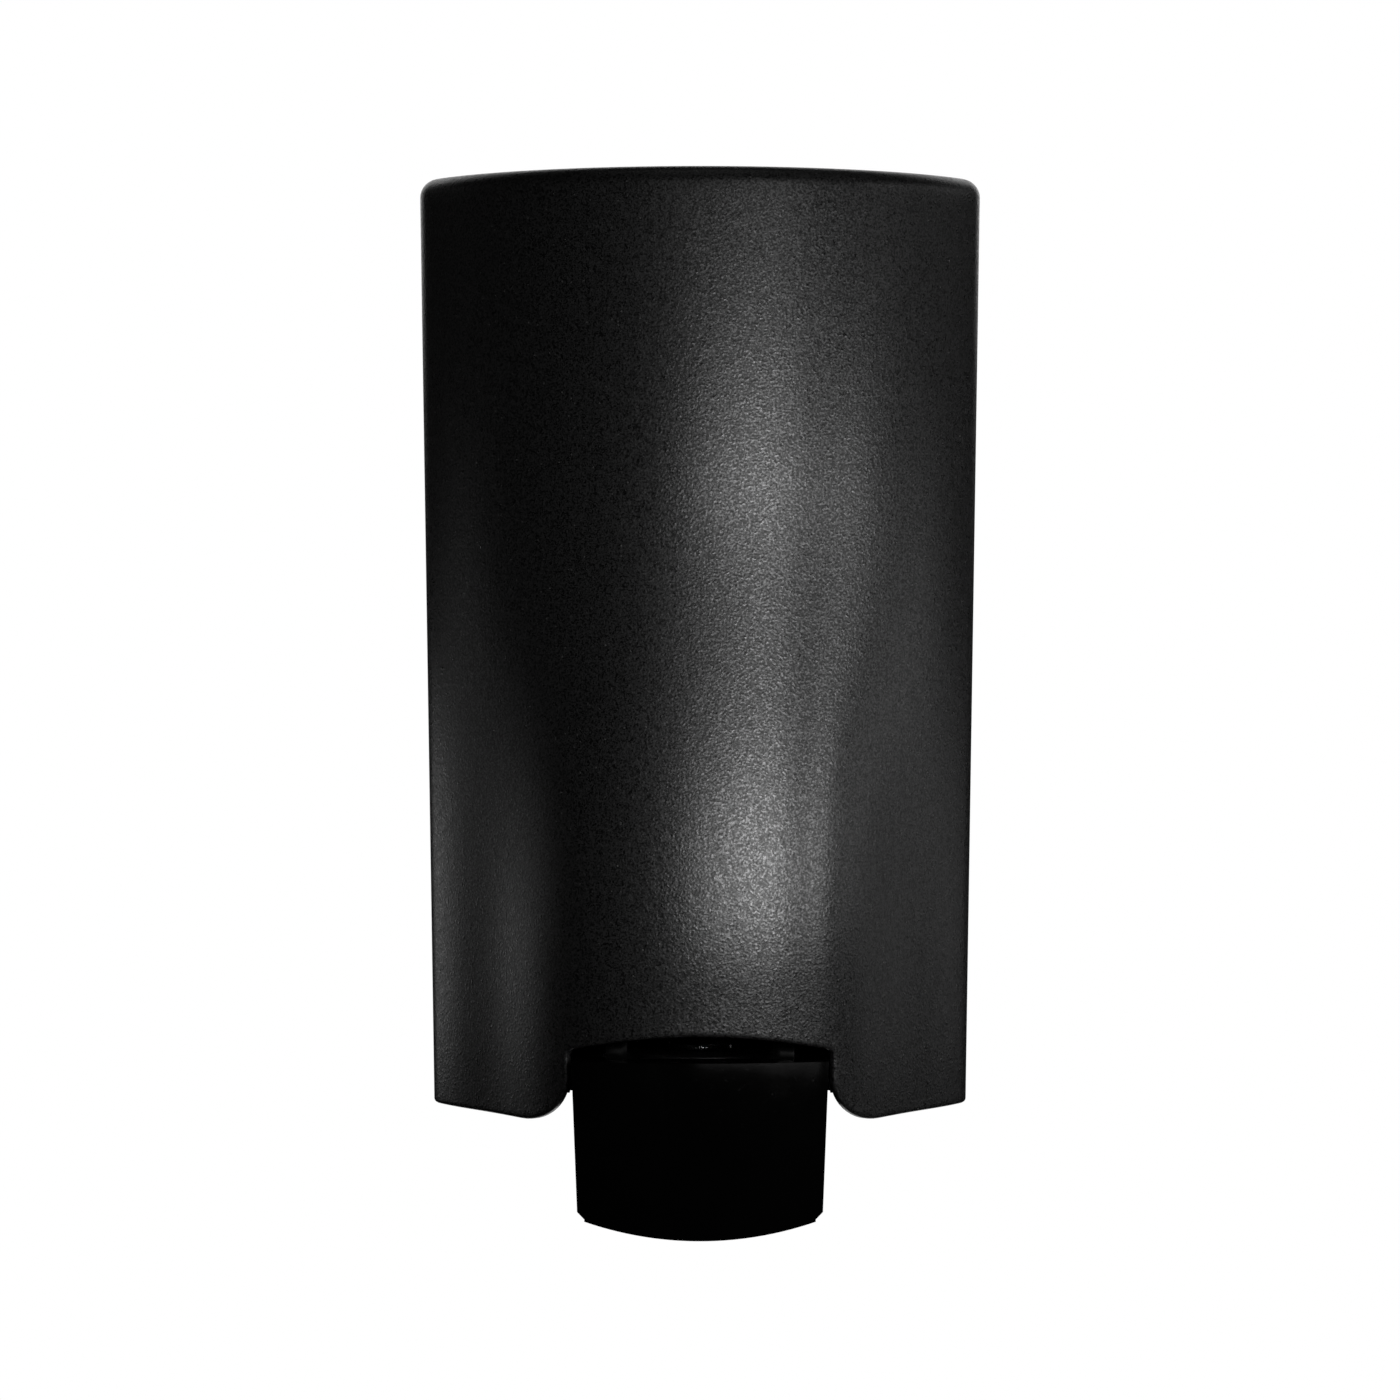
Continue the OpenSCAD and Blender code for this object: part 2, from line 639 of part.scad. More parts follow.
// The lever's face from the front, moved in by inset: straight tapered sides and a bowed lower edge
module face_outline(inset, top) {
  top_half = lever_half_w - inset;
  low_half = lever_half_w - lever_taper - inset;
  corner_z = lever_bottom + lever_sag;
  bow_r = (low_half * low_half + lever_sag * lever_sag) / (2 * lever_sag);
  polygon([[-top_half, top], [-low_half, corner_z + 1.5], [-low_half + 1.5, corner_z], [low_half - 1.5,
    corner_z],
           [low_half, corner_z + 1.5], [top_half, top]]);
  intersection() {
    translate([-low_half + 1.5, lever_bottom + inset / 2 - 1]) square([2 * low_half - 3, lever_sag + 1]);
    translate([0, lever_bottom + bow_r + inset / 2]) circle(r = bow_r, $fn = 180);
  }
}

module face_plan(inset, rear) translate([0, 0, lever_bottom - 2]) linear_extrude(lever_h + 4)
  intersection() {
  translate([-lever_half_w, -lever_front]) square([2 * lever_half_w, lever_front - rear]);
  translate([0, lever_face_r - lever_front]) circle(r = lever_face_r - inset, $fn = 180);
}

// What is cut from behind the lever's side walls, leaving them widest at the pivot
module side_relief() along_width(-far / 2, far / 2) polygon([
  [pivot_d - 30, lever_bottom - 3], [pivot_d - 30, lever_top + 1], [pivot_d - pivot_boss_r, lever_top + 1],
  [pivot_d - pivot_boss_r, pivot_z - 3], [lever_front - 9, lever_bottom + 6], [lever_front - 9,
    lever_bottom - 3]]);

module push_lever() color("#050505") difference() {
  union() {
    difference() {
      intersection() {
        along_depth(0, far) face_outline(0, lever_top);
        face_plan(0, pivot_d - 30);
      }
      intersection() {
        along_depth(0, lever_front) face_outline(lever_wall, lever_top - 2);
        face_plan(lever_wall, pivot_d - 40);
      }
      block([-lever_half_w + lever_wall, lever_half_w - lever_wall], [0, lever_front - 9],
            [lever_bottom - 1, lever_top + 1]);
      side_relief();
    }
    both_sides() {
      cross_rod(pivot_boss_r, cheek_x[1] + 0.3, lever_half_w - 1, pivot_d, pivot_z);
      block(arm_x, [pump_d - 1.5, lever_front - lever_wall], [pivot_z - 8.5, pivot_z - pivot_r - 1]);
      cross_rod(finger_r, arm_x[0], arm_x[1], pump_d, pivot_z - finger_r);
      block(arm_x, [pump_d - 1.5, pump_d + 1.5], [pivot_z - 6, pivot_z - finger_r]);
    }
  }
  both_sides() cross_rod(pivot_r + run_gap, cheek_x[1], far, pivot_d, pivot_z);
}

module lever_pin() color("silver")
  cross_rod(pivot_r, -lever_half_w + 0.6, lever_half_w - 0.6, pivot_d, pivot_z);

// ---------------------------------------------------------------- the lock

module lock_barrel() color("silver") difference() {
  union() {
    post(lock_r + 1.5, panel_low - 1.5, panel_low - 0.05, lock_d, lock_x);
    post(lock_r, panel_low - 0.1, cam_low, lock_d, lock_x);
  }
  block([lock_x - 2.6, lock_x + 2.6], [lock_d - 0.6, lock_d + 0.6], [panel_low - 3, panel_low + 5]);
}

module lock_nut() color("silver") difference() {
  translate([lock_x, -lock_d, panel_low + panel_t]) cylinder(r = lock_r + 2.5, h = 3, $fn = 6);
  post(lock_r + run_gap, panel_low, panel_low + panel_t + 4, lock_d, lock_x);
}

module lock_cam() color("silver") difference() {
  union() {
    post(cam_w / 2, cam_low, cam_low + cam_t, lock_d, lock_x);
    block([lock_x - cam_w / 2, lock_x + cam_w / 2], [lock_d, lock_d + cam_len], [cam_low, cam_low + cam_t]);
  }
  post(small_screw_r, cam_low - 1, cam_low + cam_t + 1, lock_d, lock_x);
}

module cam_screw() color("silver") translate([lock_x, -lock_d, cam_low + cam_t]) mirror([0, 0, 1])
  screw(cam_t);

// ---------------------------------------------------------------- the nodes

placed() front_cover();
placed() hinge_bar();
placed() hinge_screws();
placed() hinge_pins();
placed() back_plate();
placed() pump_carrier();
placed() carrier_screws();
placed() lever_bracket();
placed() bracket_screw();
placed() base_panel();
placed() panel_screws();
placed() reservoir();
placed() reservoir_floor();
placed() reservoir_top();
placed() reservoir_lid();
placed() lid_gasket();
placed() neck_seal();
placed() pump_nut();
placed() pump_cylinder();
placed() ball_cage();
placed() inlet_ball();
placed() return_spring();
placed() pump_stem();
placed() piston_seal();
placed() nozzle();
placed() outlet_valve();
placed() push_lever();
placed() lever_pin();
placed() lock_barrel();
placed() lock_nut();
placed() lock_cam();
placed() cam_screw();
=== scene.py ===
"""A wall-mounted push-lever soap dispenser: the looks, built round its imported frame.

Everything is in metres, in the frame's own axes: +X to the right seen from the front, +Y into the wall,
+Z up, and the origin on the wall face in the middle of the four wall screws.  "Depth" is the distance
that a point stands out from the wall, so it is -y.
"""

import logging
import math
from dataclasses import dataclass, field
from enum import Enum
from typing import Callable, Optional, Sequence

import bmesh
import bpy
import numpy as np
from mathutils import Matrix, Vector


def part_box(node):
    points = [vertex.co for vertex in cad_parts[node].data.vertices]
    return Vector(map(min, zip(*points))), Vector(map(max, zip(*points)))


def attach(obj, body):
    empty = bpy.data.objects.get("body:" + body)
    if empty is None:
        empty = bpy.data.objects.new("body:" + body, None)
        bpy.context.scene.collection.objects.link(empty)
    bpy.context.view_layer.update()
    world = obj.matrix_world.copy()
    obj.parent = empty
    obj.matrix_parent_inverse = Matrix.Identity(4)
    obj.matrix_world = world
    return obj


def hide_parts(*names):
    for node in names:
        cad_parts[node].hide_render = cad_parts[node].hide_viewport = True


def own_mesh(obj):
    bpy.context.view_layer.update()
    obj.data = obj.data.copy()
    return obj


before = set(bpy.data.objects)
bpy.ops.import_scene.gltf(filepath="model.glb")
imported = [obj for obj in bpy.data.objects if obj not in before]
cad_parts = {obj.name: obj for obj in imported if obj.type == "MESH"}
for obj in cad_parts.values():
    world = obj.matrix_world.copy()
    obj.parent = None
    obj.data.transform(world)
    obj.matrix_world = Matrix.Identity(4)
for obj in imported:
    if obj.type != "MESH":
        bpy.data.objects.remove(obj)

logging.basicConfig(level=logging.INFO, format="%(name)s: %(message)s")
LOG = logging.getLogger("dispenser")

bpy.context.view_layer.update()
ROW_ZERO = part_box("front_cover")[0][2]
MM = 0.001
WELD = 1e-6
FLAT_ANGLE = 0.6

Piece = bpy.types.Object
Material = bpy.types.Material
Tree = bpy.types.NodeTree
Node = bpy.types.Node
Socket = bpy.types.NodeSocket
RGB = tuple[float, float, float]


# ---------------------------------------------------------------- meshes


def grid_faces(rows: int, columns: int, start: int = 0, flip: bool = False) -> list[tuple[int, ...]]:
    """Quads over a grid of points stored row by row.

    Args:
        rows: Number of rows of points.
        columns: Number of points in a row.
        start: Index of the grid's first point.
        flip: Turns the faces over.

    Returns:
        The faces as tuples of point indices.
    """
    faces = []
    for j in range(rows - 1):
        for i in range(columns - 1):
            a = start + j * columns + i
            quad = (a, a + 1, a + columns + 1, a + columns)
            faces.append(quad[::-1] if flip else quad)
    return faces


def solid_from(name: str, points: np.ndarray, faces: Sequence[Sequence[int]], sharp: float = 40.0) -> Piece:
    """Makes a closed, outward-facing object from points and faces, with doubled points merged.

    Args:
        name: Name of the object and its mesh.
        points: Array of points, one per row, in metres.
        faces: Faces as sequences of point indices, all turned the same way.
        sharp: Angle in degrees above which an edge is shaded sharp.

    Returns:
        The new object, linked to the scene.
    """
    mesh = bpy.data.meshes.new(name)
    mesh.from_pydata([tuple(p) for p in points], [], [tuple(f) for f in faces])
    work = bmesh.new()
    work.from_mesh(mesh)
    bmesh.ops.remove_doubles(work, verts=work.verts, dist=WELD)
    bmesh.ops.dissolve_degenerate(work, edges=work.edges, dist=WELD / 10)
    if work.calc_volume(signed=True) < 0:
        bmesh.ops.reverse_faces(work, faces=work.faces)
    work.to_mesh(mesh)
    work.free()
    return shown(name, mesh, sharp)


def shown(name: str, mesh: bpy.types.Mesh, sharp: float = 40.0) -> Piece:
    """Links a mesh to the scene as a smooth-shaded object.

    Args:
        name: Name of the object.
        mesh: Its mesh.
        sharp: Angle in degrees above which an edge is shaded sharp.

    Returns:
        The new object.
    """
    mesh.polygons.foreach_set("use_smooth", [True] * len(mesh.polygons))
    mesh.set_sharp_from_angle(angle=math.radians(sharp))
    piece = bpy.data.objects.new(name, mesh)
    bpy.context.scene.collection.objects.link(piece)
    return piece


def settled(piece: Piece, sharp: float = 40.0) -> Piece:
    """Turns an object with live modifiers into a plain mesh object of the same name.

    Args:
        piece: The object to settle; it is removed.
        sharp: Angle in degrees above which an edge is shaded sharp.

    Returns:
        The plain object.
    """
    name = piece.name
    evaluated = piece.evaluated_get(bpy.context.evaluated_depsgraph_get())
    mesh = bpy.data.meshes.new_from_object(evaluated)
    piece.modifiers.clear()
    bpy.data.objects.remove(piece)
    mesh.name = name
    return shown(name, mesh, sharp)


def softened(node: str, radius: float, segments: int = 3, sharp: float = 32.0) -> Piece:
    """Copies a frame node, with its flat faces joined up and its sharp edges rounded as a mould leaves them.

    Args:
        node: Name of the frame's node.
        radius: Radius of the rounded edges, in metres.
        segments: Steps across each rounded edge.
        sharp: Angle in degrees above which an edge is rounded.

    Returns:
        The new object, with the node's own name and "_made" after it.
    """
    work = bmesh.new()
    work.from_mesh(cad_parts[node].data)
    bmesh.ops.remove_doubles(work, verts=work.verts, dist=WELD)
    bmesh.ops.dissolve_limit(work, angle_limit=math.radians(FLAT_ANGLE), verts=work.verts, edges=work.edges)
    mesh = bpy.data.meshes.new(node + "_made")
    work.to_mesh(mesh)
    work.free()
    piece = shown(mesh.name, mesh)
    bevel = piece.modifiers.new("edges", "BEVEL")
    bevel.width = radius
    bevel.segments = segments
    bevel.limit_method = "ANGLE"
    bevel.angle_limit = math.radians(sharp)
    bevel.use_clamp_overlap = True
    bevel.miter_outer = "MITER_ARC"
    return settled(piece)


def dress(piece: Piece, material: Material, slot: str, body: str, *nodes: str) -> Piece:
    """Gives a piece its material, hangs it on its body, and lets it stand for frame nodes.

    Args:
        piece: The finished piece, in place.
        material: Its material.
        slot: The record's material slot; not used.
        body: The frame body that it moves with.
        nodes: The frame nodes that it stands for.

    Returns:
        The same piece.
    """
    piece.data.materials.clear()
    piece.data.materials.append(material)
    if nodes:
        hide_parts(*nodes)
    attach(piece, body)
    LOG.info("%s: %d faces, on %s", piece.name, len(piece.data.polygons), body)
    return piece


# ---------------------------------------------------------------- node trees


def add_node(tree: Tree, kind: str, settings: Optional[dict] = None, **inputs: object) -> Node:
    """Adds a node to a tree, with its properties and inputs set.

    Args:
        tree: The tree.
        kind: The node's type.
        settings: Its properties.
        inputs: Values or sources for its inputs, named as on the node with spaces as underscores, or by
            number as i0, i1 and so on.

    Returns:
        The node.
    """
    node = tree.nodes.new(kind)
    for key, value in (settings or {}).items():
        setattr(node, key, value)
    for key, value in inputs.items():
        numbered = key[0] == "i" and key[1:].isdigit()
        socket = node.inputs[int(key[1:])] if numbered else node.inputs[key.replace("_", " ")]
        if isinstance(value, Socket):
            tree.links.new(value, socket)
        else:
            socket.default_value = value
    return node


class Nodes:
    """What shader groups, geometry trees and materials have in common: a tree that nodes are added to."""

    tree: Tree

    def node(self, kind: str, settings: Optional[dict] = None, **inputs: object) -> Node:
        """Adds a node to the tree, as add_node() does."""
        return add_node(self.tree, kind, settings, **inputs)

    def math(self, operation: str, *values: object) -> Socket:
        """Adds a Math node on numbers or sources, and returns its output."""
        inputs = {f"i{k}": v for k, v in enumerate(values)}
        return self.node("ShaderNodeMath", {"operation": operation}, **inputs).outputs[0]

    def noise(self, vector: Socket, scale: object, **inputs: object) -> Socket:
        """Adds a noise texture, and returns its value."""
        return self.node("ShaderNodeTexNoise", None, Vector=vector, Scale=scale, **inputs).outputs["Fac"]

    def range(self, source: Socket, low: object, high: object, to_low: float = 0.0, to_high: float = 1.0,
              smooth: bool = False) -> Socket:
        """Maps a source's range low to high onto to_low to to_high, clamped.

        Args:
            source: What is mapped.
            low: Value, or source of the value, that becomes to_low.
            high: Value, or source of the value, that becomes to_high.
            to_low: Result at low.
            to_high: Result at high.
            smooth: Eases the result in and out.

        Returns:
            The result's socket.
        """
        settings = {"interpolation_type": "SMOOTHSTEP" if smooth else "LINEAR"}
        ends = {"From_Min": low, "From_Max": high, "To_Min": to_low, "To_Max": to_high}
        return self.node("ShaderNodeMapRange", settings, Value=source, **ends).outputs[0]


class Graph(Nodes):
    """A node group under construction, for shader groups and geometry trees alike."""

    def __init__(self, name: str, kind: str) -> None:
        """Starts an empty group.

        Args:
            name: Name of the group.
            kind: "ShaderNodeTree" or "GeometryNodeTree".
        """
        self.tree = bpy.data.node_groups.new(name, kind)
        self.entry = self.tree.nodes.new("NodeGroupInput")
        self.exit = self.tree.nodes.new("NodeGroupOutput")

    def takes(self, name: str, kind: str, value: object = None) -> Socket:
        """Adds a named input.

        Args:
            name: Name of the input.
            kind: Its type without "NodeSocket", such as "Float".
            value: Its default.

        Returns:
            The socket inside the group that gives the input's value.
        """
        socket = self.tree.interface.new_socket(name, in_out="INPUT", socket_type="NodeSocket" + kind)
        if value is not None:
            socket.default_value = value
        return self.entry.outputs[name]

    def gives(self, name: str, kind: str, source: Socket) -> None:
        """Adds a named output fed by source."""
        self.tree.interface.new_socket(name, in_out="OUTPUT", socket_type="NodeSocket" + kind)
        self.tree.links.new(source, self.exit.inputs[name])

    def gives_dressed(self, shape: Socket, material: Material) -> None:
        """Ends a geometry tree: makes its instances real, gives them a material and puts them out.

        Args:
            shape: The geometry, instances and all.
            material: Its material.
        """
        whole = self.node("GeometryNodeRealizeInstances", None, Geometry=shape).outputs[0]
        dressed = self.node("GeometryNodeSetMaterial", None, Geometry=whole, Material=material).outputs[0]
        self.gives("Geometry", "Geometry", dressed)


def run_tree(name: str, graph: Graph, base: Optional[bpy.types.Mesh], values: dict,
             sharp: float = 40.0) -> Piece:
    """Runs a geometry tree on a mesh and settles the result as a plain object.

    Args:
        name: Name of the resulting object.
        graph: The geometry tree, which starts with a Geometry input.
        base: The mesh that it starts from, or None for an empty one.
        values: Values of the tree's named inputs.
        sharp: Angle in degrees above which an edge is shaded sharp.

    Returns:
        The plain object.
    """
    carrier = bpy.data.objects.new(name, base or bpy.data.meshes.new(name))
    bpy.context.scene.collection.objects.link(carrier)
    modifier = carrier.modifiers.new("tree", "NODES")
    modifier.node_group = graph.tree
    for item in graph.tree.interface.items_tree:
        if item.in_out == "INPUT" and item.name in values:
            modifier[item.identifier] = values[item.name]
    carrier.update_tag()
    bpy.context.view_layer.update()
    return settled(carrier, sharp)


# ---------------------------------------------------------------- shared surface effects


def grain_group() -> Tree:
    """Builds the moulded grain: small pebbles with a few pits, pale flecks and fine sand among them.

    Returns:
        A group that takes Vector, Cell (the pebbles' size) and Fleck Share, and gives Height, Pits,
        Flecks and Sand.
    """
    g = Graph("moulded_grain", "ShaderNodeTree")
    vector = g.takes("Vector", "Vector")
    cell = g.takes("Cell", "Float", 0.0005)
    fleck_share = g.takes("Fleck Share", "Float", 0.03)
    scale = g.math("DIVIDE", 1.0, cell)
    pebbles = g.noise(vector, scale, Detail=1.0, Roughness=0.4)
    coarse = g.noise(vector, g.math("MULTIPLY", scale, 0.31), Detail=1.0)
    height = g.math("ADD", g.math("MULTIPLY", pebbles, 0.8), g.math("MULTIPLY", coarse, 0.35))
    spot_scale = g.math("MULTIPLY", scale, 0.8)
    spots = g.node("ShaderNodeTexVoronoi", {"feature": "F1"}, Vector=vector, Scale=spot_scale)
    chance = g.node("ShaderNodeSeparateColor", None, Color=spots.outputs["Color"])
    near = g.math("LESS_THAN", spots.outputs["Distance"], 0.3)
    flecks = g.math("MULTIPLY", near, g.math("LESS_THAN", chance.outputs["Red"], fleck_share))
    pits = g.math("MULTIPLY", near, g.math("LESS_THAN", chance.outputs["Green"], fleck_share))
    g.gives("Height", "Float", g.math("SUBTRACT", height, g.math("MULTIPLY", pits, 0.5)))
    g.gives("Pits", "Float", pits)
    g.gives("Flecks", "Float", flecks)
    fine = g.noise(vector, g.math("MULTIPLY", scale, 1.15), Detail=1.0, Roughness=0.5)
    g.gives("Sand", "Float", g.range(fine, 0.42, 0.60))
    return g.tree


def handling_group() -> Tree:
    """Builds the marks of handling: broad smudges and faint fine scratches.

    Returns:
        A group that takes Vector and Size (the smudges' size) and gives Smudge and Scratch, from 0 to 1.
    """
    g = Graph("handling_marks", "ShaderNodeTree")
    vector = g.takes("Vector", "Vector")
    scale = g.math("DIVIDE", 1.0, g.takes("Size", "Float", 0.03))
    cloud = g.noise(vector, scale, Detail=5.0, Roughness=0.62, Distortion=0.6)
    stretched = g.node("ShaderNodeMapping", None, Vector=vector, Rotation=(0.3, 0.7, 0.5), Scale=(1, 0.04, 1))
    hair = g.noise(stretched.outputs[0], g.math("MULTIPLY", scale, 26.0), Detail=1.0)
    g.gives("Smudge", "Float", g.range(cloud, 0.42, 0.68, smooth=True))
    g.gives("Scratch", "Float", g.range(hair, 0.70, 0.76))
    return g.tree


def dust_group() -> Tree:
    """Builds the dust that settles on faces that look up.

    Returns:
        A group that takes Vector and Amount and gives Mask, from 0 to 1.
    """
    g = Graph("settled_dust", "ShaderNodeTree")
    vector = g.takes("Vector", "Vector")
    amount = g.takes("Amount", "Float", 0.2)
    normal = g.node("ShaderNodeNewGeometry").outputs["Normal"]
    up = g.node("ShaderNodeSeparateXYZ", None, Vector=normal).outputs["Z"]
    facing = g.range(up, 0.55, 0.98, smooth=True)
    patch = g.range(g.noise(vector, 260.0, Detail=6.0, Roughness=0.7), 0.35, 0.75)
    g.gives("Mask", "Float", g.math("MULTIPLY", g.math("MULTIPLY", facing, patch), amount))
    return g.tree


GRAIN = grain_group()
HANDLING = handling_group()
DUST = dust_group()


# ---------------------------------------------------------------- finishes


class Paint(Nodes):
    """One material under construction, with its Principled shader and Object coordinates at hand."""

    def __init__(self, name: str) -> None:
        """Starts the material.

        Args:
            name: Name of the material.
        """
        self.material = bpy.data.materials.new(name)
        self.material.use_nodes = True
        self.tree = self.material.node_tree
        self.tree.nodes.clear()
        self.shader = self.tree.nodes.new("ShaderNodeBsdfPrincipled")
        self.out = self.tree.nodes.new("ShaderNodeOutputMaterial")
        self.tree.links.new(self.shader.outputs[0], self.out.inputs[0])
        self.coords = self.tree.nodes.new("ShaderNodeTexCoord").outputs["Object"]

    def put(self, socket: str, value: object) -> None:
        """Sets one of the shader's inputs.

        Args:
            socket: Name of the input.
            value: A value, or the source that feeds it.
        """
        if isinstance(value, Socket):
            self.tree.links.new(value, self.shader.inputs[socket])
        else:
            self.shader.inputs[socket].default_value = value

    def group(self, group: Tree, **inputs: object) -> Node:
        """Places a shared effect, fed with the Object coordinates and the given inputs."""
        return self.node("ShaderNodeGroup", {"node_tree": group}, Vector=self.coords, **inputs)

    def mix(self, share: object, first: object, second: object) -> Socket:
        """Mixes two colours, each an RGB or a source, by a share, and returns the colour."""
        first, second = ((*c, 1) if isinstance(c, tuple) else c for c in (first, second))
        return self.node("ShaderNodeMix", {"data_type": "RGBA"}, i0=share, i6=first, i7=second).outputs[2]

    def bump(self, height: Socket, distance: float, strength: float = 1.0) -> None:
        """Feeds a height into the shader's normal, with bumps of that depth in metres."""
        node = self.node("ShaderNodeBump", None, Height=height, Distance=distance, Strength=strength)
        self.put("Normal", node.outputs[0])


def scaled(colour: RGB, gain: float, lift: float = 0.0) -> RGB:
    """Multiplies a colour by gain and adds lift, up to white."""
    return tuple(min(1.0, c * gain + lift) for c in colour)


@dataclass(frozen=True)
class PebbledPlastic:
    """Near-black moulded plastic with a fine pebbled grain, sand-like glints and pale flecks."""

    name: str
    colour: RGB = (0.0003, 0.0003, 0.0003)
    fleck_colour: RGB = (0.05, 0.05, 0.049)
    pebble_colour: RGB = (0.001, 0.001, 0.001)
    glint_colour: RGB = (0.058, 0.058, 0.0585)
    dust_colour: RGB = (0.06, 0.058, 0.055)
    roughness: float = 0.34
    shimmer: float = 0.13
    specular: float = 0.31
    cell: float = 0.00052
    depth: float = 0.00008

    def make(self) -> Material:
        """Builds the material.

        Returns:
            The material.
        """
        p = Paint(self.name)
        grain = p.group(GRAIN, Cell=self.cell, Fleck_Share=0.035).outputs
        smudge = p.group(HANDLING, Size=0.05).outputs["Smudge"]
        dust = p.group(DUST, Amount=0.10).outputs["Mask"]
        colour = p.mix(p.range(grain["Height"], 0.42, 0.8), self.colour, self.pebble_colour)
        colour = p.mix(grain["Flecks"], colour, self.fleck_colour)
        colour = p.mix(dust, colour, self.dust_colour)
        glint = p.math("MULTIPLY", grain["Sand"], p.math("SUBTRACT", 1.0, dust))
        p.put("Base Color", p.mix(glint, colour, self.glint_colour))
        p.put("Metallic", glint)
        worn = p.range(smudge, 0, 1, self.roughness, self.roughness + 0.015)
        rough = p.math("ADD", worn, p.math("MULTIPLY", grain["Pits"], 0.12))
        rough = p.math("SUBTRACT", rough, p.range(grain["Height"], 0.3, 0.85, -self.shimmer, self.shimmer))
        p.put("Roughness", p.math("ADD", rough, p.math("MULTIPLY", dust, 0.4)))
        p.put("Specular IOR Level", self.specular)
        p.bump(grain["Height"], self.depth)
        return p.material


@dataclass(frozen=True)
class SmoothPlastic:
    """Smooth moulded plastic, glossy or satin, with faint flow waves, smudges and hairline scratches."""

    name: str
    colour: RGB
    roughness: float
    wave: float = 0.000004
    transmission: float = 0.0
    subsurface: float = 0.0
    specular: float = 0.5
    dust: float = 0.06
    dust_colour: RGB = (0.10, 0.097, 0.09)

    def make(self) -> Material:
        """Builds the material.

        Returns:
            The material.
        """
        p = Paint(self.name)
        marks = p.group(HANDLING, Size=0.022).outputs
        dust = p.group(DUST, Amount=self.dust).outputs["Mask"]
        flow = p.noise(p.coords, 70.0, Detail=2.0)
        fine = p.noise(p.coords, 1500.0, Detail=2.0)
        colour = p.mix(flow, self.colour, scaled(self.colour, 1.18, 0.0006))
        p.put("Base Color", p.mix(dust, colour, self.dust_colour))
        rough = p.range(marks["Smudge"], 0, 1, self.roughness, min(1.0, self.roughness + 0.10))
        rough = p.math("ADD", rough, p.math("MULTIPLY", marks["Scratch"], 0.12))
        p.put("Roughness", p.math("ADD", rough, p.math("MULTIPLY", dust, 0.5)))
        p.put("Specular IOR Level", self.specular)
        if self.transmission:
            p.put("Transmission Weight", self.transmission)
            p.put("IOR", 1.45)
        if self.subsurface:
            p.put("Subsurface Weight", self.subsurface)
            p.put("Subsurface Scale", 0.002)
        height = p.math("ADD", p.math("MULTIPLY", flow, 6.0), fine)
        height = p.math("SUBTRACT", height, p.math("MULTIPLY", marks["Scratch"], 1.5))
        p.bump(height, self.wave)
        return p.material


@dataclass(frozen=True)
class GrainedPlastic:
    """Satin plastic with a coarse spark-eroded grain, as on parts that stay out of sight."""

    name: str
    colour: RGB
    scratch_colour: RGB = (0.16, 0.16, 0.16)
    dust_colour: RGB = (0.14, 0.135, 0.125)
    roughness: float = 0.48
    cell: float = 0.0007
    depth: float = 0.00005

    def make(self) -> Material:
        """Builds the material.

        Returns:
            The material.
        """
        p = Paint(self.name)
        height = p.group(GRAIN, Cell=self.cell, Fleck_Share=0.004).outputs["Height"]
        marks = p.group(HANDLING, Size=0.04).outputs
        dust = p.group(DUST, Amount=0.16).outputs["Mask"]
        smudged = p.math("MULTIPLY", marks["Smudge"], 0.5)
        colour = p.mix(smudged, self.colour, scaled(self.colour, 1.5, 0.002))
        colour = p.mix(p.math("MULTIPLY", marks["Scratch"], 0.35), colour, self.scratch_colour)
        p.put("Base Color", p.mix(dust, colour, self.dust_colour))
        p.put("Roughness", p.range(marks["Smudge"], 0, 1, self.roughness, self.roughness + 0.12))
        p.bump(height, self.depth)
        return p.material


@dataclass(frozen=True)
class BrushedMetal:
    """Bare metal with a fine directional brushing and slight tarnish."""

    name: str
    colour: RGB = (0.56, 0.56, 0.57)
    roughness: float = 0.30
    stretch: RGB = (1.0, 0.06, 1.0)
    depth: float = 0.000004

    def make(self) -> Material:
        """Builds the material.

        Returns:
            The material.
        """
        p = Paint(self.name)
        smudge = p.group(HANDLING, Size=0.008).outputs["Smudge"]
        lines = p.node("ShaderNodeMapping", None, Vector=p.coords, Scale=self.stretch).outputs[0]
        brush = p.noise(lines, 6500.0, Detail=3.0)
        p.put("Base Color", p.mix(p.math("MULTIPLY", smudge, 0.6), self.colour, scaled(self.colour, 0.72)))
        p.put("Metallic", 1.0)
        rough = p.range(brush, 0.3, 0.7, self.roughness - 0.08, self.roughness + 0.10)
        p.put("Roughness", p.math("ADD", rough, p.math("MULTIPLY", smudge, 0.08)))
        p.bump(brush, self.depth)
        return p.material


@dataclass(frozen=True)
class Silicone:
    """Soft seal rubber with a dry, faintly powdery skin."""

    name: str
    colour: RGB
    roughness: float = 0.6

    def make(self) -> Material:
        """Builds the material.

        Returns:
            The material.
        """
        p = Paint(self.name)
        height = p.group(GRAIN, Cell=0.00035, Fleck_Share=0.01).outputs["Height"]
        smudged = p.math("MULTIPLY", p.group(HANDLING, Size=0.012).outputs["Smudge"], 0.5)
        p.put("Base Color", p.mix(smudged, self.colour, scaled(self.colour, 1.25, 0.02)))
        p.put("Roughness", p.range(height, 0.3, 0.9, self.roughness - 0.06, self.roughness + 0.10))
        p.put("Subsurface Weight", 0.06)
        p.put("Subsurface Scale", 0.001)
        p.bump(height, 0.00001)
        return p.material


